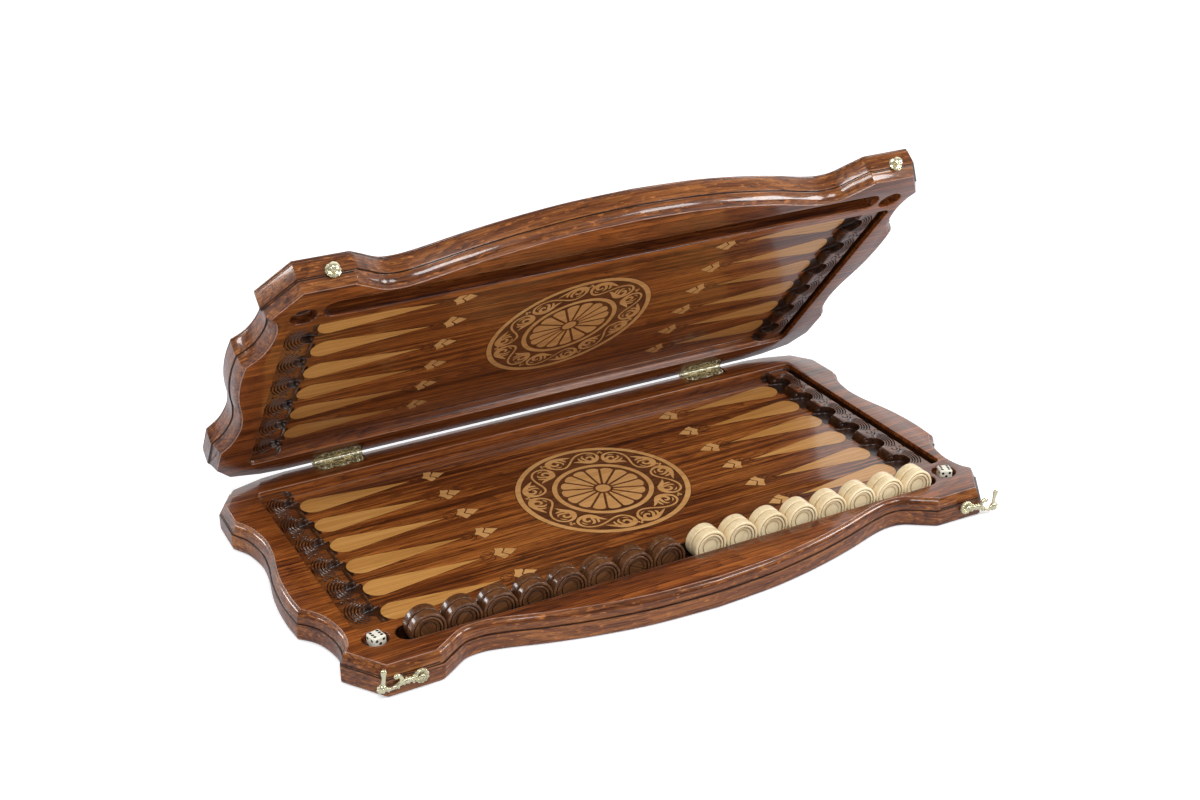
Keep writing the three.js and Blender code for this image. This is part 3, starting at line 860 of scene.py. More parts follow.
def face_wood(center, normal, is_lid):
    """Wood of a tray face, from where it lies and how it faces"""
    x, y, z = abs(center.x), center.y, center.z
    if FIELD_Y0 - 0.5 < y < FIELD_Y1 + 0.5 and x < 267.8 and z < BAND_Z + 0.4:
        # playing field
        if x < STRIP_X0 + 1.5 and FIELD_Z - 0.05 < z < FIELD_Z + 0.7 and normal.z > 0.5:
            return FIELD
        # top of the strips, then the inner wall of the groove
        if normal.z > 0.80 and z > BAND_Z - 0.9 and x > 243.0:
            return STRIP
        if 259.5 < x < 261.6 and z > 11.5 and abs(normal.x) > 0.5:
            return STRIP
        # hollows and sides of the strips, in dark wood that paints their shade
        return CARVED_SHADE if x > STRIP_X0 - 6 else WALNUT
    # low floors outside the field and the trough, in dark wood that paints the shade on them
    if z < 12.6 and normal.z > 0.3 and not (-146 < y < -123 and x < 242):
        return CARVED_SHADE
    # the base's trough, in dark wood that paints the shade in it; the lid's trough keeps its own
    # wood
    if not is_lid and -146 < y < -123.2 and x < 242 and z < RIM_Z - 0.9:
        return CARVED_SHADE
    # outer sides: lighter wood just under the rim, partly wear and partly a painted highlight
    # along the edge, moulding below
    if not (x < 268.5 and -146.5 < y < 132):
        if RIM_Z - 0.5 < z < RIM_Z - 0.01:
            return EDGE_WEAR_AND_HIGHLIGHT
        return MOULD if z < RIM_Z - 0.2 else WALNUT
    # rounded inner edges along the field and the trough, in the same lighter wood: partly wear,
    # partly a painted highlight
    if RIM_Z - 0.42 < z < RIM_Z - 0.02 and x < 262:
        if any(abs(y - line) < 1.5 for line in (FIELD_Y1, FIELD_Y0, TROUGH_Y)):
            return EDGE_WEAR_AND_HIGHLIGHT
    return WALNUT


def tray(name, is_lid):
    outline = rim_outline()
    columns = []
    for (x, y, out, beaded), (off_x, off_y) in zip(outline, mitres(outline, 1.5)):
        columns.append([(x + off_x * reach, y + off_y * reach, RIM_Z - down)
                        for reach, down in side_profile(y, out, beaded, is_lid)])
    obj = solid(*loft(list(zip(*columns))), name=name)
    cut(obj, well(pocket(-265.0, 265.0, FIELD_Y0, FIELD_Y1, 6), BAND_Z, RIM_Z,
                  r_floor=0.5, r_top=0.7))
    cut(obj, field_cutter())
    for side in (-1, 1):
        cut_end(obj, side, is_lid)
    cut(obj, well(pocket(-240.8, 240.8, TROUGH_Y, -124.4, 10), TROUGH_Z, RIM_Z,
                  r_floor=2.5, r_top=0.9))
    obj.data.materials.clear()
    for material in TRAY_WOODS:
        obj.data.materials.append(material)
    for face in obj.data.polygons:
        found = face_wood(face.center * 1000, face.normal, is_lid)
        face.material_index = TRAY_WOODS.index(found)
    return shade(obj, 32)


base_tray = tray("base_tray_carved", is_lid=False)
lid_tray = tray("lid_tray_carved", is_lid=True)
fit(base_tray, "base", HERE, "base_tray")
fit(lid_tray, "lid", LID, "lid_tray")


# ----------------------------------------------------------- inlays and burns
class Layer:
    """Thin plates set into the field, from some depth below it to just above"""

    def __init__(self, below, above):
        self.bottom, self.top = FIELD_Z - below, FIELD_Z + above
        self.parts = []

    def add(self, outline, lift=0.0):
        self.parts.append(plate(outline, self.bottom, self.top + lift))

    def add_ring(self, inner, outer, lift=0.0):
        """Flat ring of the medallion"""
        low, high = self.bottom, self.top + lift
        rings = [[(x, y, z) for x, y in circle(*ROSE, radius, 160)]
                 for radius, z in ((inner, low), (outer, low), (outer, high), (inner, high))]
        self.parts.append(new_object(*hoop(rings)))


burns, stains = Layer(0.15, 0.03), Layer(0.15, 0.042)
inlays, pales = Layer(0.12, 0.08), Layer(0.12, 0.08)
ROSE = (-0.4, -0.6)           # centre of the medallion

# two-part leaf beyond each point's tip: x towards the board's centre from LEAF_X, y
LEAF_BACK = [
    (-9.4, 0.3), (-8.2, 1.6), (-6.9, 3.2), (-5.8, 5.4), (-5.4, 7.4), (-4.7, 8.8), (-3.4, 8.0),
    (-1.4, 7.5), (0.9, 7.0), (1.1, 5.4), (0.3, 3.6), (-1.2, 2.0), (-2.3, 0.9), (-2.6, 0.0),
    (-2.3, -0.9), (-1.2, -2.0), (0.3, -3.6), (1.1, -5.4), (0.5, -6.6), (-1.4, -7.6),
    (-3.4, -8.8), (-4.8, -8.4), (-5.6, -6.2), (-6.2, -4.0), (-7.4, -2.0), (-8.6, -0.7)]
LEAF_FRONT = [
    (-1.5, 0.0), (-0.4, 1.4), (0.9, 2.6), (1.8, 4.0), (2.7, 5.1), (4.0, 4.4), (5.6, 3.4),
    (7.4, 2.2), (9.2, 1.0), (10.8, 0.1), (9.2, -0.9), (7.4, -2.1), (5.6, -3.4), (4.0, -4.5),
    (2.8, -5.2), (1.9, -4.0), (0.9, -2.6), (-0.4, -1.4)]
# curls burned between the tips and the leaves, in the same frame
CURLS = [
    [(-9.6, 0.3), (-11.5, 1.2), (-13.6, 3.0), (-16.2, 4.2), (-18.8, 3.6), (-19.8, 1.6),
     (-18.4, 0.4), (-17.0, 1.4)],
    [(-8.6, 1.8), (-9.6, 4.4), (-11.8, 6.6), (-14.4, 7.4), (-16.4, 6.6)]]
# half a scroll of the medallion: (x along the ring, y outwards, half width)
SCROLL = [
    [(0, 0, 0.95), (3.2, 3.4, 0.95), (6.6, 6.3, 0.95), (10.4, 8.3, 0.95), (14.2, 9.0, 0.95),
     (18.2, 8.0, 1.0), (21.6, 5.0, 1.1), (23.3, 0.6, 1.4), (22.6, -4.0, 2.0), (19.6, -7.4, 2.6),
     (15.6, -8.9, 2.7), (11.4, -8.6, 2.3), (7.0, -7.2, 1.7), (3.0, -5.9, 1.1),
     (-0.8, -5.0, 0.15)],
    [(18.6, -6.6, 1.3), (19.3, -3.2, 1.35), (18.2, -0.4, 1.25), (15.8, 0.6, 1.15),
     (13.8, -0.8, 1.0), (14.6, -2.6, 0.2)],
    [(13.6, -7.4, 1.5), (12.0, -4.6, 1.35), (10.2, -1.8, 1.2), (9.8, 1.4, 0.95),
     (11.4, 3.6, 0.2)],
    [(8.6, -6.8, 1.2), (7.2, -4.2, 1.1), (6.2, -1.4, 0.9), (6.4, 0.6, 0.2)],
    [(19.6, 2.8, 0.2), (17.2, 4.6, 0.7), (14.2, 5.0, 0.2)]]
SCROLL_R = 57.2
ENDS = [(side, y) for side in (-1, 1) for y in POINT_Y]


def teardrop(side, y, grow=0.0):
    """Point of the board: a sharp tip and a round outer end"""
    lean = math.degrees(math.asin(POINT_R / (POINT_END_X - POINT_TIP_X)))
    points = [(POINT_TIP_X - grow * 2.5, 0.0)]
    for i in range(41):
        a = rad(-(90 + lean) + (180 + 2 * lean) * i / 40)
        points.append(polar(POINT_END_X, 0, POINT_R + grow, a))
    return [(side * x, y + v) for x, v in points]


def add_points_and_leaves():
    for side, y in ENDS:
        burns.add(teardrop(side, y, 0.45))
        inlays.add(teardrop(side, y))
    for side, y in ENDS:
        for leaf in (LEAF_BACK, LEAF_FRONT):
            points = [(side * (LEAF_X - px), y + py) for px, py in leaf]
            pales.add(points)
            burns.add(grown(points, 0.4))


def ray(middle):
    """One of the sixteen rays round the medallion's centre"""
    def half_angle(radius):
        return rad(11.25) - 1.05 / radius
    radii = (8.6, 12, 18, 24, 30, 33.0)
    points = [polar(*ROSE, radius, middle - half_angle(radius)) for radius in radii]
    for k in range(9):
        t = -1 + 2 * k / 8
        points.append(polar(*ROSE, 35.6 - 1.9 * t * t * abs(t),
                            middle + t * half_angle(34.5) * 0.98))
    return points + [polar(*ROSE, radius, middle + half_angle(radius)) for radius in radii[::-1]]


def add_medallion():
    burns.add(circle(*ROSE, 74.5, 200), 0.004)
    stains.add(circle(*ROSE, 74.0, 200))
    for radius in (69.4, 43.0, 38.6):
        burns.add_ring(radius - 0.28, radius + 0.28, 0.020)
    pales.add_ring(69.4, 73.9)
    pales.add_ring(38.7, 42.9)
    pales.add(circle(*ROSE, 6.3, 48))
    for i in range(16):
        pales.add(ray(rad(22.5 * i + 11.25)))


def add_scrolls():
    """Seven S-scrolls round the medallion, each other one mirrored, and three dots
    between neighbours"""
    for k in range(7):
        theta = rad(90 - k * 360 / 7)
        flip = -1 if k % 2 == 1 else 1
        for turn in (1, -1):
            for j, stations in enumerate(SCROLL):
                points = []
                for x, y in stroke(stations):
                    x, y = turn * x, turn * flip * y
                    radius = SCROLL_R + y * (0.93 if y > 0 else 0.98)
                    points.append(polar(*ROSE, radius, theta - x / SCROLL_R))
                # overlapping strokes lie at slightly different heights
                pales.add(points, 0.004 * j + (0.002 if turn < 0 else 0))
        between = theta - math.pi / 7
        for shift, out, radius in ((0, 1.6, 1.15), (-1.5 / 64, -0.4, 1.1), (1.5 / 64, -0.4, 1.1)):
            center = polar(*ROSE, 64.3 + out, between + shift)
            pales.add(circle(*center, radius, 14), 0.003)


def add_curls():
    for side, y in ENDS:
        for curl in CURLS:
            for up in (-1, 1):
                widths = [0.16] + [0.34] * (len(curl) - 2) + [0.16]
                stations = [(side * (LEAF_X - px), y + up * py, half)
                            for (px, py), half in zip(curl, widths)]
                burns.add(stroke(stations, 0.5), 0.002 * up)


add_points_and_leaves()
add_medallion()
add_scrolls()
add_curls()
fit_both("burned_ground", join(burns.parts, [BURN]))
fit_both("stained_ground", join(stains.parts, [STAIN]))
fit_both("light_inlay", join(inlays.parts, [INLAY]))
fit_both("pale_inlay", join(pales.parts, [PALE]))

# ------------------------------------------------------------------- checkers
CHECKER_HALF = 3.8
# one face from centre to rim: (radius, height over CHECKER_HALF)
CHECKER_FACE = [
    (0, -2.0), (2.4, -1.96), (4.4, -1.86), (5.6, -1.74), (6.0, -1.62), (6.25, -1.80),
    (6.5, -1.98), (6.8, -1.90), (7.4, -1.72), (8.2, -1.55), (8.9, -1.45), (9.15, -1.20),
    (9.3, -0.75), (9.5, -0.45), (9.8, -0.32), (10.5, -0.28), (10.9, -0.34), (11.1, -0.60),
    (11.25, -1.05), (11.5, -1.20), (11.75, -1.05), (11.9, -0.50), (12.05, -0.14), (12.3, 0.0),
    (12.9, 0.04), (13.35, -0.02), (13.7, -0.18), (13.92, -0.42), (14.0, -0.75), (14.0, -2.6)]
GROOVE_RADII = ((11.0, 11.95), (9.0, 9.6), (6.1, 6.75))
CHECKER_ROWS = (("a", -138.5), ("b", -129.9))
# (kind, wood, darker copy that paints the shade in the grooves, x of the first, step in x)
CHECKERS = (("dark", DARK_CHECKER, DARK_GROOVE_SHADE, -218.5, 28.44),
            ("light", LIGHT_CHECKER, LIGHT_GROOVE_SHADE, 219.6, -28.8))


def checker(name, materials):
    profile = [(radius, -(CHECKER_HALF + z)) for radius, z in CHECKER_FACE]
    profile += [(radius, CHECKER_HALF + z) for radius, z in CHECKER_FACE[::-1]]
    obj = solid(*lathe(profile, 72), materials, name)
    # faces in the grooves take the darker copy, a painted shade
    for face in obj.data.polygons:
        radius = math.hypot(face.center.x, face.center.y) / MM
        if abs(face.center.z) < 3.75 * MM and any(a < radius < b for a, b in GROOVE_RADII):
            face.material_index = 1
    return shade(obj, 50)


def add_checkers():
    """Two rows standing on edge in the base's trough"""
    rng = random.Random(7)
    for kind, body, groove, first_x, step in CHECKERS:
        master = checker("m_" + kind, (body, groove))
        for i in range(8):
            for tag, y in CHECKER_ROWS:
                part = f"checker_{kind}_{i + 1}{tag}"
                obj = link_object(part + "_turned", master.data)
                turn = Matrix.Rotation(rng.uniform(0, 2 * math.pi), 4, "Z")
                where = at(first_x + step * i, y, HALF_T) @ TO_FRONT @ turn
                fit(obj, part, where, part)
        drop(master)


add_checkers()

# ----------------------------------------------------------------------- dice
CORNERS = [(-1, -1), (-1, 1), (1, -1), (1, 1)]
# (face direction, first direction in the face, pip places)
DIE_FACES = (
    ((0, 0, 1), (1, 0, 0), [(-1, -1), (-1, 0), (-1, 1), (1, -1), (1, 0), (1, 1)]),
    ((0, 0, -1), (1, 0, 0), [(0, 0)]),
    ((0, -1, 0), (1, 0, 0), CORNERS + [(0, 0)]),
    ((0, 1, 0), (1, 0, 0), [(-1, -1), (1, 1)]),
    ((-1, 0, 0), (0, 1, 0), CORNERS),
    ((1, 0, 0), (0, 1, 0), [(-1, -1), (0, 0), (1, 1)]))
PIP_PITCH, PIP_OUT, PIP_R = 2.9, 6.0, 1.3


def die(name):
    work = bmesh.new()
    bmesh.ops.create_cube(work, size=DIE_SIZE * MM)
    bmesh.ops.bevel(work, geom=work.edges[:] + work.verts[:], offset=1.6 * MM, segments=6,
                    profile=0.5, affect="EDGES")
    obj = from_bmesh(name, work, (IVORY, PIP))
    balls = []
    for normal, first, places in DIE_FACES:
        normal, first = Vector(normal), Vector(first)
        second = normal.cross(first)
        for i, j in places:
            center = normal * PIP_OUT + first * i * PIP_PITCH + second * j * PIP_PITCH
            work = bmesh.new()
            bmesh.ops.create_icosphere(work, subdivisions=3, radius=PIP_R * MM)
            for vert in work.verts:
                vert.co += center * MM
            balls.append(from_bmesh("pip", work))
    cutter = join(balls, [IVORY, PIP])
    for face in cutter.data.polygons:
        face.material_index = 1
    cut(obj, cutter)
    return shade(obj, 30)


for word, x, turn in (("left", -254.6, 12), ("right", 255.8, -20)):
    fit(die(f"die_{word}_pipped"), f"die_{word}",
        at(x, DIE_Y, 18.2) @ spin(turn, "Z"), f"die_{word}")

# ---------------------------------------------------------------------- hooks
# local axes: x along the arm, y up, z away from the wood; stations of (x, y, z, radius)
HOOK_ARM = [
    (4.4, -0.5, 1.3, 2.1), (5.6, -0.6, 1.4, 1.6), (6.8, -0.6, 1.5, 2.5), (8.2, -0.7, 1.5, 1.8),
    (9.6, -0.6, 1.5, 2.1), (11.2, -0.6, 1.5, 2.6), (12.8, -0.8, 1.5, 2.0),
    (14.4, -1.0, 1.4, 2.5), (16.2, -1.8, 1.3, 2.0), (18.2, -3.1, 1.3, 1.7),
    (20.4, -4.0, 1.3, 1.4), (22.4, -4.3, 1.3, 1.3), (24.2, -4.3, 1.3, 1.45),
    (26.0, -3.8, 1.3, 1.8), (27.8, -2.9, 1.4, 2.4), (29.2, -2.2, 1.4, 2.7)]
HOOK_PRONG = [
    (14.8, -0.8, 1.4, 2.2), (15.0, 1.4, 1.5, 1.7), (15.8, 3.4, 1.6, 1.5), (17.2, 4.9, 1.7, 1.5),
    (18.6, 5.3, 1.8, 1.7), (19.3, 4.6, 1.8, 1.8)]
HOOK_THUMB = [
    (29.4, -1.8, 1.4, 2.6), (28.8, 0.6, 1.4, 1.9), (28.4, 2.8, 1.4, 1.55), (28.2, 5.0, 1.4, 1.5),
    (28.2, 7.2, 1.5, 1.7), (28.3, 9.2, 1.6, 2.1), (28.3, 10.9, 1.7, 2.15)]
# beads along the arm: (x, y, radius)
HOOK_BEADS = (
    (8.9, 1.3, 0.95), (11.6, 1.6, 1.05), (9.6, -2.6, 0.9), (13.2, -2.8, 1.0),
    (17.4, -4.6, 0.95), (24.6, -5.6, 0.9), (5.9, 2.0, 1.1), (6.0, -3.0, 1.1))
# ribs across the arm: (x, y)
HOOK_RIBS = ((7.6, -0.7), (10.2, -0.7), (12.4, -0.7), (15.6, -1.6), (19.4, -3.6), (26.2, -3.6))
BOSS_X, BOSS_Y = 29.4, -2.3
# section of the shell: (part of the way from inner to outer radius, part of the height)
SHELL_SECTION = [
    (0.0, 0.0), (0.30, 0.62), (0.42, 0.86), (0.50, 0.78), (0.56, 0.74), (0.66, 0.92),
    (0.78, 1.0), (0.90, 0.86), (0.97, 0.60), (1.0, 0.30), (0.98, 0.0)]


def shell():
    """Fluted shell round the pivot, pierced for the screw"""
    inner, outer, height, flutes = 1.75, 5.6, 2.5, 11
    rings = []
    for way, z in SHELL_SECTION:
        wave = max(0.0, (way - 0.52) / 0.48)
        ring = []
        for i in range(flutes * 8):
            a = 2 * math.pi * i / (flutes * 8)
            crest = abs(math.cos(a * flutes / 2))
            radius = inner + (outer - inner) * way
            radius *= 1 + 0.09 * wave * (crest - 0.5)
            ring.append((*polar(0, 0, radius, a), height * z * (1 - 0.34 * wave * (1 - crest))))
        rings.append(ring)
    return solid(*hoop(rings))


def hook(name):
    parts = [shell(), sweep(HOOK_ARM, flat=0.78), sweep(HOOK_PRONG), ball((15.0, 1.4, 2.5), 0.9),
             sweep(HOOK_THUMB, flat=0.75)]
    # boss with small round lobes
    parts.append(ball((BOSS_X, BOSS_Y, 1.5), 3.3, 0.8))
    for a in (-150, -105, -60, -15, 25):
        parts.append(ball((*polar(BOSS_X, BOSS_Y, 2.9, rad(a)), 1.6), 1.3))
    parts.append(ball((BOSS_X, BOSS_Y, 3.4), 1.25))
    for x, y, radius in HOOK_BEADS:
        parts.append(ball((x, y, 1.6), radius))
    for x, y in HOOK_RIBS:
        parts.append(sweep([(x - 0.2, y - 1.5, 2.0, 0.35), (x + 0.3, y, 2.9, 0.5),
                            (x - 0.2, y + 1.5, 2.0, 0.35)], seg=8, spacing=0.3))
    return shade(join(parts, [GOLD], name), 60)


for side, word in SIDES:
    obj = hook(f"hook_{word}_cast")
    # place and mirror are baked into the mesh; the mirror turns the left hook's faces
    obj.data.transform(at(HOOK_X[side], -172.3, HOOK_Z) @ TO_FRONT
                       @ Matrix.Diagonal((side, 1, 1, 1)) @ spin(HOOK_TILT[side], "Z"))
    if side < 0:
        work = bmesh.new()
        work.from_mesh(obj.data)
        bmesh.ops.reverse_faces(work, faces=work.faces)
        work.to_mesh(obj.data)
        work.free()
    fit(obj, "hook_" + word, part="hook_" + word)

# ----------------------------------------------------------- screws and knobs
# turned profiles of (radius, z), z away from the wood
SCREW = [
    (0, 2.05), (0.9, 1.98), (1.6, 1.72), (2.15, 1.25), (2.5, 0.7), (2.62, 0.25), (2.5, -0.1),
    (1.35, -0.15), (1.3, -12.0), (0.4, -14.0), (0, -14.0)]
KNOB = [
    (0, 7.75), (0.9, 7.7), (1.8, 7.45), (2.5, 7.0), (3.0, 6.6), (3.35, 6.5), (3.75, 6.2),
    (4.05, 5.75), (4.1, 5.35), (3.8, 4.95), (3.2, 4.75), (2.2, 4.65), (1.7, 4.4), (1.65, 3.2),
    (1.75, 2.0), (2.3, 1.75), (3.0, 1.7), (3.4, 1.45), (3.9, 1.35), (4.4, 1.5), (4.9, 1.35),
    (5.4, 1.0), (5.9, 0.75), (6.0, 0.35), (5.9, 0.28), (1.4, 0.28), (1.3, -6.0), (0.4, -7.5),
    (0, -7.5)]


def flute(obj, count, beyond, above, depth):
    """Scallop the part beyond a radius and above a height"""
    for vert in obj.data.vertices:
        x, y, z = vert.co
        if math.hypot(x, y) / MM > beyond and z / MM > above:
            shrink = 1 - depth * abs(math.sin(math.atan2(y, x) * count / 2))
            vert.co.x *= shrink
            vert.co.y *= shrink


for side, word in SIDES:
    screw = solid(*lathe(SCREW, 40), (GOLD,), f"hook_{word}_screw_turned")
    cut(screw, box(-0.28, 0.28, -3.2, 3.2, 1.25, 3.0))
    shade(screw, 30)
    where = at(HOOK_X[side], -174.9, HOOK_Z) @ TO_FRONT @ spin(35 * side, "Z")
    fit(screw, "base", where, f"hook_{word}_screw")
    knob = solid(*lathe(KNOB, 96), (GOLD,), f"knob_{word}_turned")
    flute(knob, count=12, beyond=4.6, above=0.0, depth=0.07)
    flute(knob, count=8, beyond=2.6, above=5.0, depth=0.075)
    shade(knob, 28)
    where = OPEN @ at(KNOB_X[side], FLAT_Y, KNOB_Z) @ TO_FRONT
    fit(knob, "lid", where, f"knob_{word}")

# --------------------------------------------------------------------- hinges
# stamped and pierced leaves with a rolled barrel; x from the middle of the hinge
HINGE_EDGE = [
    (-21.0, 140.4), (-21.0, 136.6), (-20.2, 134.8), (-20.9, 133.2), (-20.0, 131.6),
    (-18.6, 131.2), (-18.2, 129.4), (-16.8, 128.2), (-15.2, 128.6), (-14.2, 127.4),
    (-12.4, 127.4), (-11.2, 128.8), (-9.8, 129.0), (-8.8, 130.6), (-7.2, 130.4),
    (-6.4, 128.8), (-4.8, 128.4), (-3.8, 126.9), (-2.0, 126.6), (-0.9, 126.3)]
# oval holes: (x, y, half length, half width, tilt in degrees)
HINGE_HOLES = (
    (-16.6, 135.6, 1.9, 0.9, 20), (-11.4, 134.6, 1.7, 0.8, -25), (-12.2, 131.2, 1.2, 0.7, 15),
    (-6.4, 134.6, 1.8, 0.85, 25), (-4.3, 131.2, 1.0, 1.4, 0), (0, 134.8, 1.5, 1.0, 0),
    (-17.6, 132.6, 0.8, 0.8, 0))
# raised scrolls: (x, y)
HINGE_SCROLLS = (
    [(-19.4, 136.8), (-17.4, 137.4), (-15.4, 136.4), (-14.2, 134.4), (-14.9, 132.4),
     (-16.4, 132.0)],
    [(-13.8, 137.2), (-11.6, 136.9), (-9.2, 135.2), (-8.9, 133.0), (-10.2, 132.2),
     (-11.2, 133.0)],
    [(-8.4, 137.2), (-6.0, 137.0), (-3.4, 135.8), (-2.4, 133.6), (-3.2, 132.6)],
    [(-7.4, 132.2), (-5.8, 130.6), (-3.4, 129.4), (-1.4, 128.6)])
# beads: (x, y, radius)
HINGE_BEADS = (
    (-19.3, 133.4, 0.6), (-18.0, 130.4, 0.55), (-13.2, 129.0, 0.65), (-9.9, 130.9, 0.6),
    (-7.1, 131.9, 0.5), (-5.2, 129.4, 0.55), (-1.7, 127.8, 0.55), (-8.2, 134.6, 0.5),
    (-14.8, 138.2, 0.5), (-1.6, 136.6, 0.5))
# one knuckle of the barrel: (x from its left end, radius)
KNUCKLE = [
    (0, 2.05), (0.25, 2.2), (0.9, 2.2), (1.15, 2.02), (1.5, 2.02), (1.75, 2.2), (6.45, 2.2),
    (6.7, 2.02), (7.05, 2.02), (7.3, 2.2), (7.95, 2.2), (8.2, 2.05), (8.2, 1.15), (0, 1.15)]
HINGE_HALF, KNUCKLE_PITCH = 21.0, 8.45
# turned profiles of (radius, z)
NAIL = [
    (0, 0.60), (0.5, 0.57), (1.0, 0.45), (1.35, 0.26), (1.5, 0.05), (1.4, 0.0), (0.5, 0.0),
    (0.5, -5.0), (0.1, -6.5), (0, -6.5)]
PIN = [
    (0, -23.0), (0.8, -22.9), (1.35, -22.4), (1.5, -21.9), (1.45, -21.4), (0.85, -21.3),
    (0.85, 21.3), (1.45, 21.4), (1.5, 21.9), (1.35, 22.4), (0.8, 22.9), (0, 23.0)]
NAIL_PLACES = ((-15, 131.6), (0, 129.6), (15, 131.6))


def mirrored(points):
    """A left half outline joined to its mirror image"""
    return points + [(-x, y) for x, y in points[::-1]]


def leaf_holes():
    holes = []
    for x, y, long, wide, tilt in HINGE_HOLES:
        cosine, sine = math.cos(rad(tilt)), math.sin(rad(tilt))
        for mirror in ((1, -1) if x else (1,)):
            points = []
            for i in range(20):
                a = 2 * math.pi * i / 20
                u, v = long * math.cos(a), wide * math.sin(a)
                points.append((mirror * (x + u * cosine - v * sine), y + u * sine + v * cosine))
            holes.append(fix_normals(plate(points, 18.0, 21.0)))
    return join(holes)


def hinge_leaf(name, knuckles):
    half = [HINGE_EDGE[0]] + smooth(HINGE_EDGE[1:], 0.4)
    body = fix_normals(plate(mirrored(half), LEAF_Z0, LEAF_Z1))
    cut(body, leaf_holes())
    # stamped relief: a rim line, scrolls and beads
    rim = mirrored([(x * 0.955, 133.4 + (y - 133.4) * 0.88) for x, y in half[2:]])
    parts = [body, sweep([(x, y, 19.6, 0.34) for x, y in rim[::3]], seg=8, spacing=0.5)]
    for mirror in (-1, 1):
        for scroll in HINGE_SCROLLS:
            radii = [0.28] + [0.46] * (len(scroll) - 2) + [0.34]
            parts.append(sweep([(mirror * x, y, 19.65, radius)
                                for (x, y), radius in zip(scroll, radii)], seg=8))
        for x, y, radius in HINGE_BEADS:
            parts.append(ball((mirror * x, y, 19.6), radius, seg=12))
    for k in knuckles:
        x0 = -HINGE_HALF + KNUCKLE_PITCH * k
        rings = [[(x0 + x, y, z) for y, z in circle(HINGE_Y, HALF_T, radius, 32)]
                 for x, radius in KNUCKLE]
        parts.append(solid(*hoop(rings)))
        parts.append(box(x0 + 0.1, x0 + 8.1, 139.6, 141.2, LEAF_Z0, LEAF_Z1))
    obj = join(parts, [ANTIQUE, PINBRASS], name)
    # barrel and raised scrolls are rubbed bright, the ground between stays dark
    for face in obj.data.polygons:
        y, z = face.center.y / MM, face.center.z / MM
        barrel = math.hypot(y - HINGE_Y, z - HALF_T) < 2.35
        face.material_index = 1 if barrel or z > 19.82 else 0
    return shade(obj, 40)


def add_hinges():
    leaves = {"base": hinge_leaf("leaf_base", (0, 2, 4)), "lid": hinge_leaf("leaf_lid", (1, 3))}
    nail = shade(solid(*lathe(NAIL, 24), (PINBRASS,), "nail"), 40)
    pin = shade(solid(*lathe(PIN, 32), (PINBRASS,), "pin"), 40)
    for side, word in SIDES:
        places = {"base": at(side * HINGE_X, 0, 0), "lid": LID @ at(-side * HINGE_X, 0, 0)}
        for half, where in places.items():
            part = f"hinge_{word}_{half}_leaf"
            obj = link_object(part + "_stamped", leaves[half].data)
            fit(obj, half, where, part)
            for i, (x, y) in enumerate(NAIL_PLACES):
                part = f"hinge_{word}_{half}_nail_{i + 1}"
                obj = link_object(part + "_domed", nail.data)
                fit(obj, half, where @ at(x, y, LEAF_Z1), part)
        part = f"hinge_{word}_pin"
        obj = link_object(part + "_turned", pin.data)
        where = at(side * HINGE_X, HINGE_Y, HALF_T) @ spin(90, "Y")
        fit(obj, "base", where, part)
    for master in (*leaves.values(), nail, pin):
        drop(master)


add_hinges()

# small volutes on the rounded noses between the bays, in the dark wood that paints the hollows'
# shade
volutes = [ball((side * 240.4, y + up * 11.4, 12.4), 2.9, 1.1, 24)
           for side, y in ENDS for up in (-1, 1)]
fit_both("strip_volutes", shade(join(volutes, [CARVED_SHADE]), 60))

# ---------------------------------------------------------------------- stage
# world strength as diffuse rays see it, and the dark and bright ends for reflections
WORLD_DIFFUSE, WORLD_DARK, WORLD_BRIGHT = 0.76, 0.08, 1.00
# (name, place in metres, size in metres, power in watts)
SOFTBOXES = [
    ("softbox_right", (1.48, -0.66, 0.84), (0.55, 0.45), 8),
    ("softbox_left", (-1.62, 0.48, 0.74), (0.40, 0.22), 3),
    ("softbox_back", (-1.20, 1.25, 0.50), (0.42, 0.32), 4),
    ("softbox_corner", (0.90, -1.10, 1.25), (0.50, 0.40), 6),
    ("softbox_front", (-0.75, -1.3, 1.95), (1.0, 0.5), 17),
]
CAMERA_MATRIX = Matrix((
    (0.87877306, 0.21245412, -0.42734196, -0.5702467),
    (-0.47719164, 0.37843434, -0.79314285, -1.0539501),
    (-0.00678559, 0.90091659, 0.43393924, 0.6732043),
    (0, 0, 0, 1)))


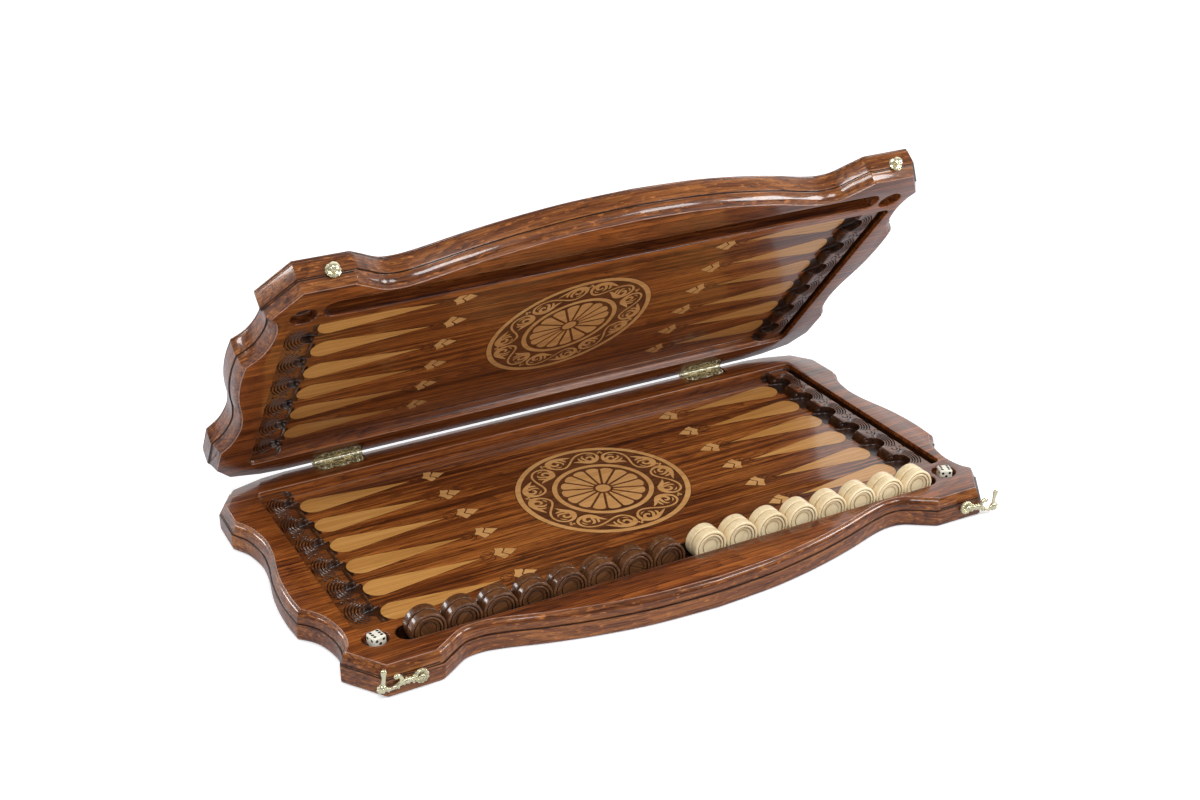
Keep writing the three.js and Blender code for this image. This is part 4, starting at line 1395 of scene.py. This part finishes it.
def add_floor():
    """White paper that glows a little to the camera and looks grey in reflections"""
    mesh = bpy.data.meshes.new("floor")
    mesh.from_pydata([(-6, -6, 0), (6, -6, 0), (6, 6, 0), (-6, 6, 0)], [], [(0, 1, 2, 3)])
    mat = Material("floor_paper")
    rays = mat.add("ShaderNodeLightPath").outputs
    paper, reflected = (0.93, 0.935, 0.955), (0.42, 0.42, 0.45)
    mat.surface({
        "Base Color": mat.mix(rays["Is Glossy Ray"], paper, reflected),
        "Roughness": 0.9,
        "Specular IOR Level": 0.1,
        "Emission Color": (0.97, 0.98, 1.0),
        "Emission Strength": mat.scaled(rays["Is Camera Ray"], 0.30)})
    link_object("floor", mesh, (mat.material,))


def add_world():
    """Even light, but reflections see a bright patch high at the back"""
    world = bpy.data.worlds.new("studio")
    bpy.context.scene.world = world
    world.use_nodes = True
    graph = Graph(world.node_tree)
    direction = graph.add("ShaderNodeTexCoord").outputs["Generated"]
    toward = graph.add("ShaderNodeVectorMath", {0: direction, 1: (0.35, 0.87, 0.35)},
                       operation="DOT_PRODUCT")
    patch = graph.add("ShaderNodeMapRange", {
        "Value": toward.outputs["Value"], "From Min": 0.30, "From Max": 0.97,
        "To Min": WORLD_DARK, "To Max": WORLD_BRIGHT}, interpolation_type="SMOOTHSTEP")
    rays = graph.add("ShaderNodeLightPath").outputs
    glossy = graph.add("ShaderNodeMix", {
        0: rays["Is Glossy Ray"], 2: WORLD_DIFFUSE, 3: patch.outputs[0]})
    seen = graph.add("ShaderNodeMix", {0: rays["Is Camera Ray"], 2: glossy.outputs[0], 3: 1.0})
    graph.feed(world.node_tree.nodes["Background"], {0: (1.0, 1.0, 1.0), 1: seen.outputs[0]})


def add_softboxes():
    for name, place, size, power in SOFTBOXES:
        light = bpy.data.lights.new(name, "AREA")
        light.shape = "RECTANGLE"
        light.size, light.size_y = size
        light.energy = power
        obj = link_object(name, light)
        obj.location = place
        aim = Vector((0, 0, 0.05)) - Vector(place)
        obj.rotation_euler = aim.to_track_quat("-Z", "Y").to_euler()


def add_camera():
    scene = bpy.context.scene
    camera = bpy.data.cameras.new("camera")
    camera.lens = 48.642
    camera.sensor_width = 36.0
    camera.sensor_fit = "HORIZONTAL"
    camera.clip_start = 0.05
    scene.camera = link_object("camera", camera)
    scene.camera.matrix_world = CAMERA_MATRIX
    scene.view_settings.view_transform = "Standard"
    scene.view_settings.look = "None"
    scene.view_settings.exposure = 0.0


add_floor()
add_world()
add_softboxes()
add_camera()
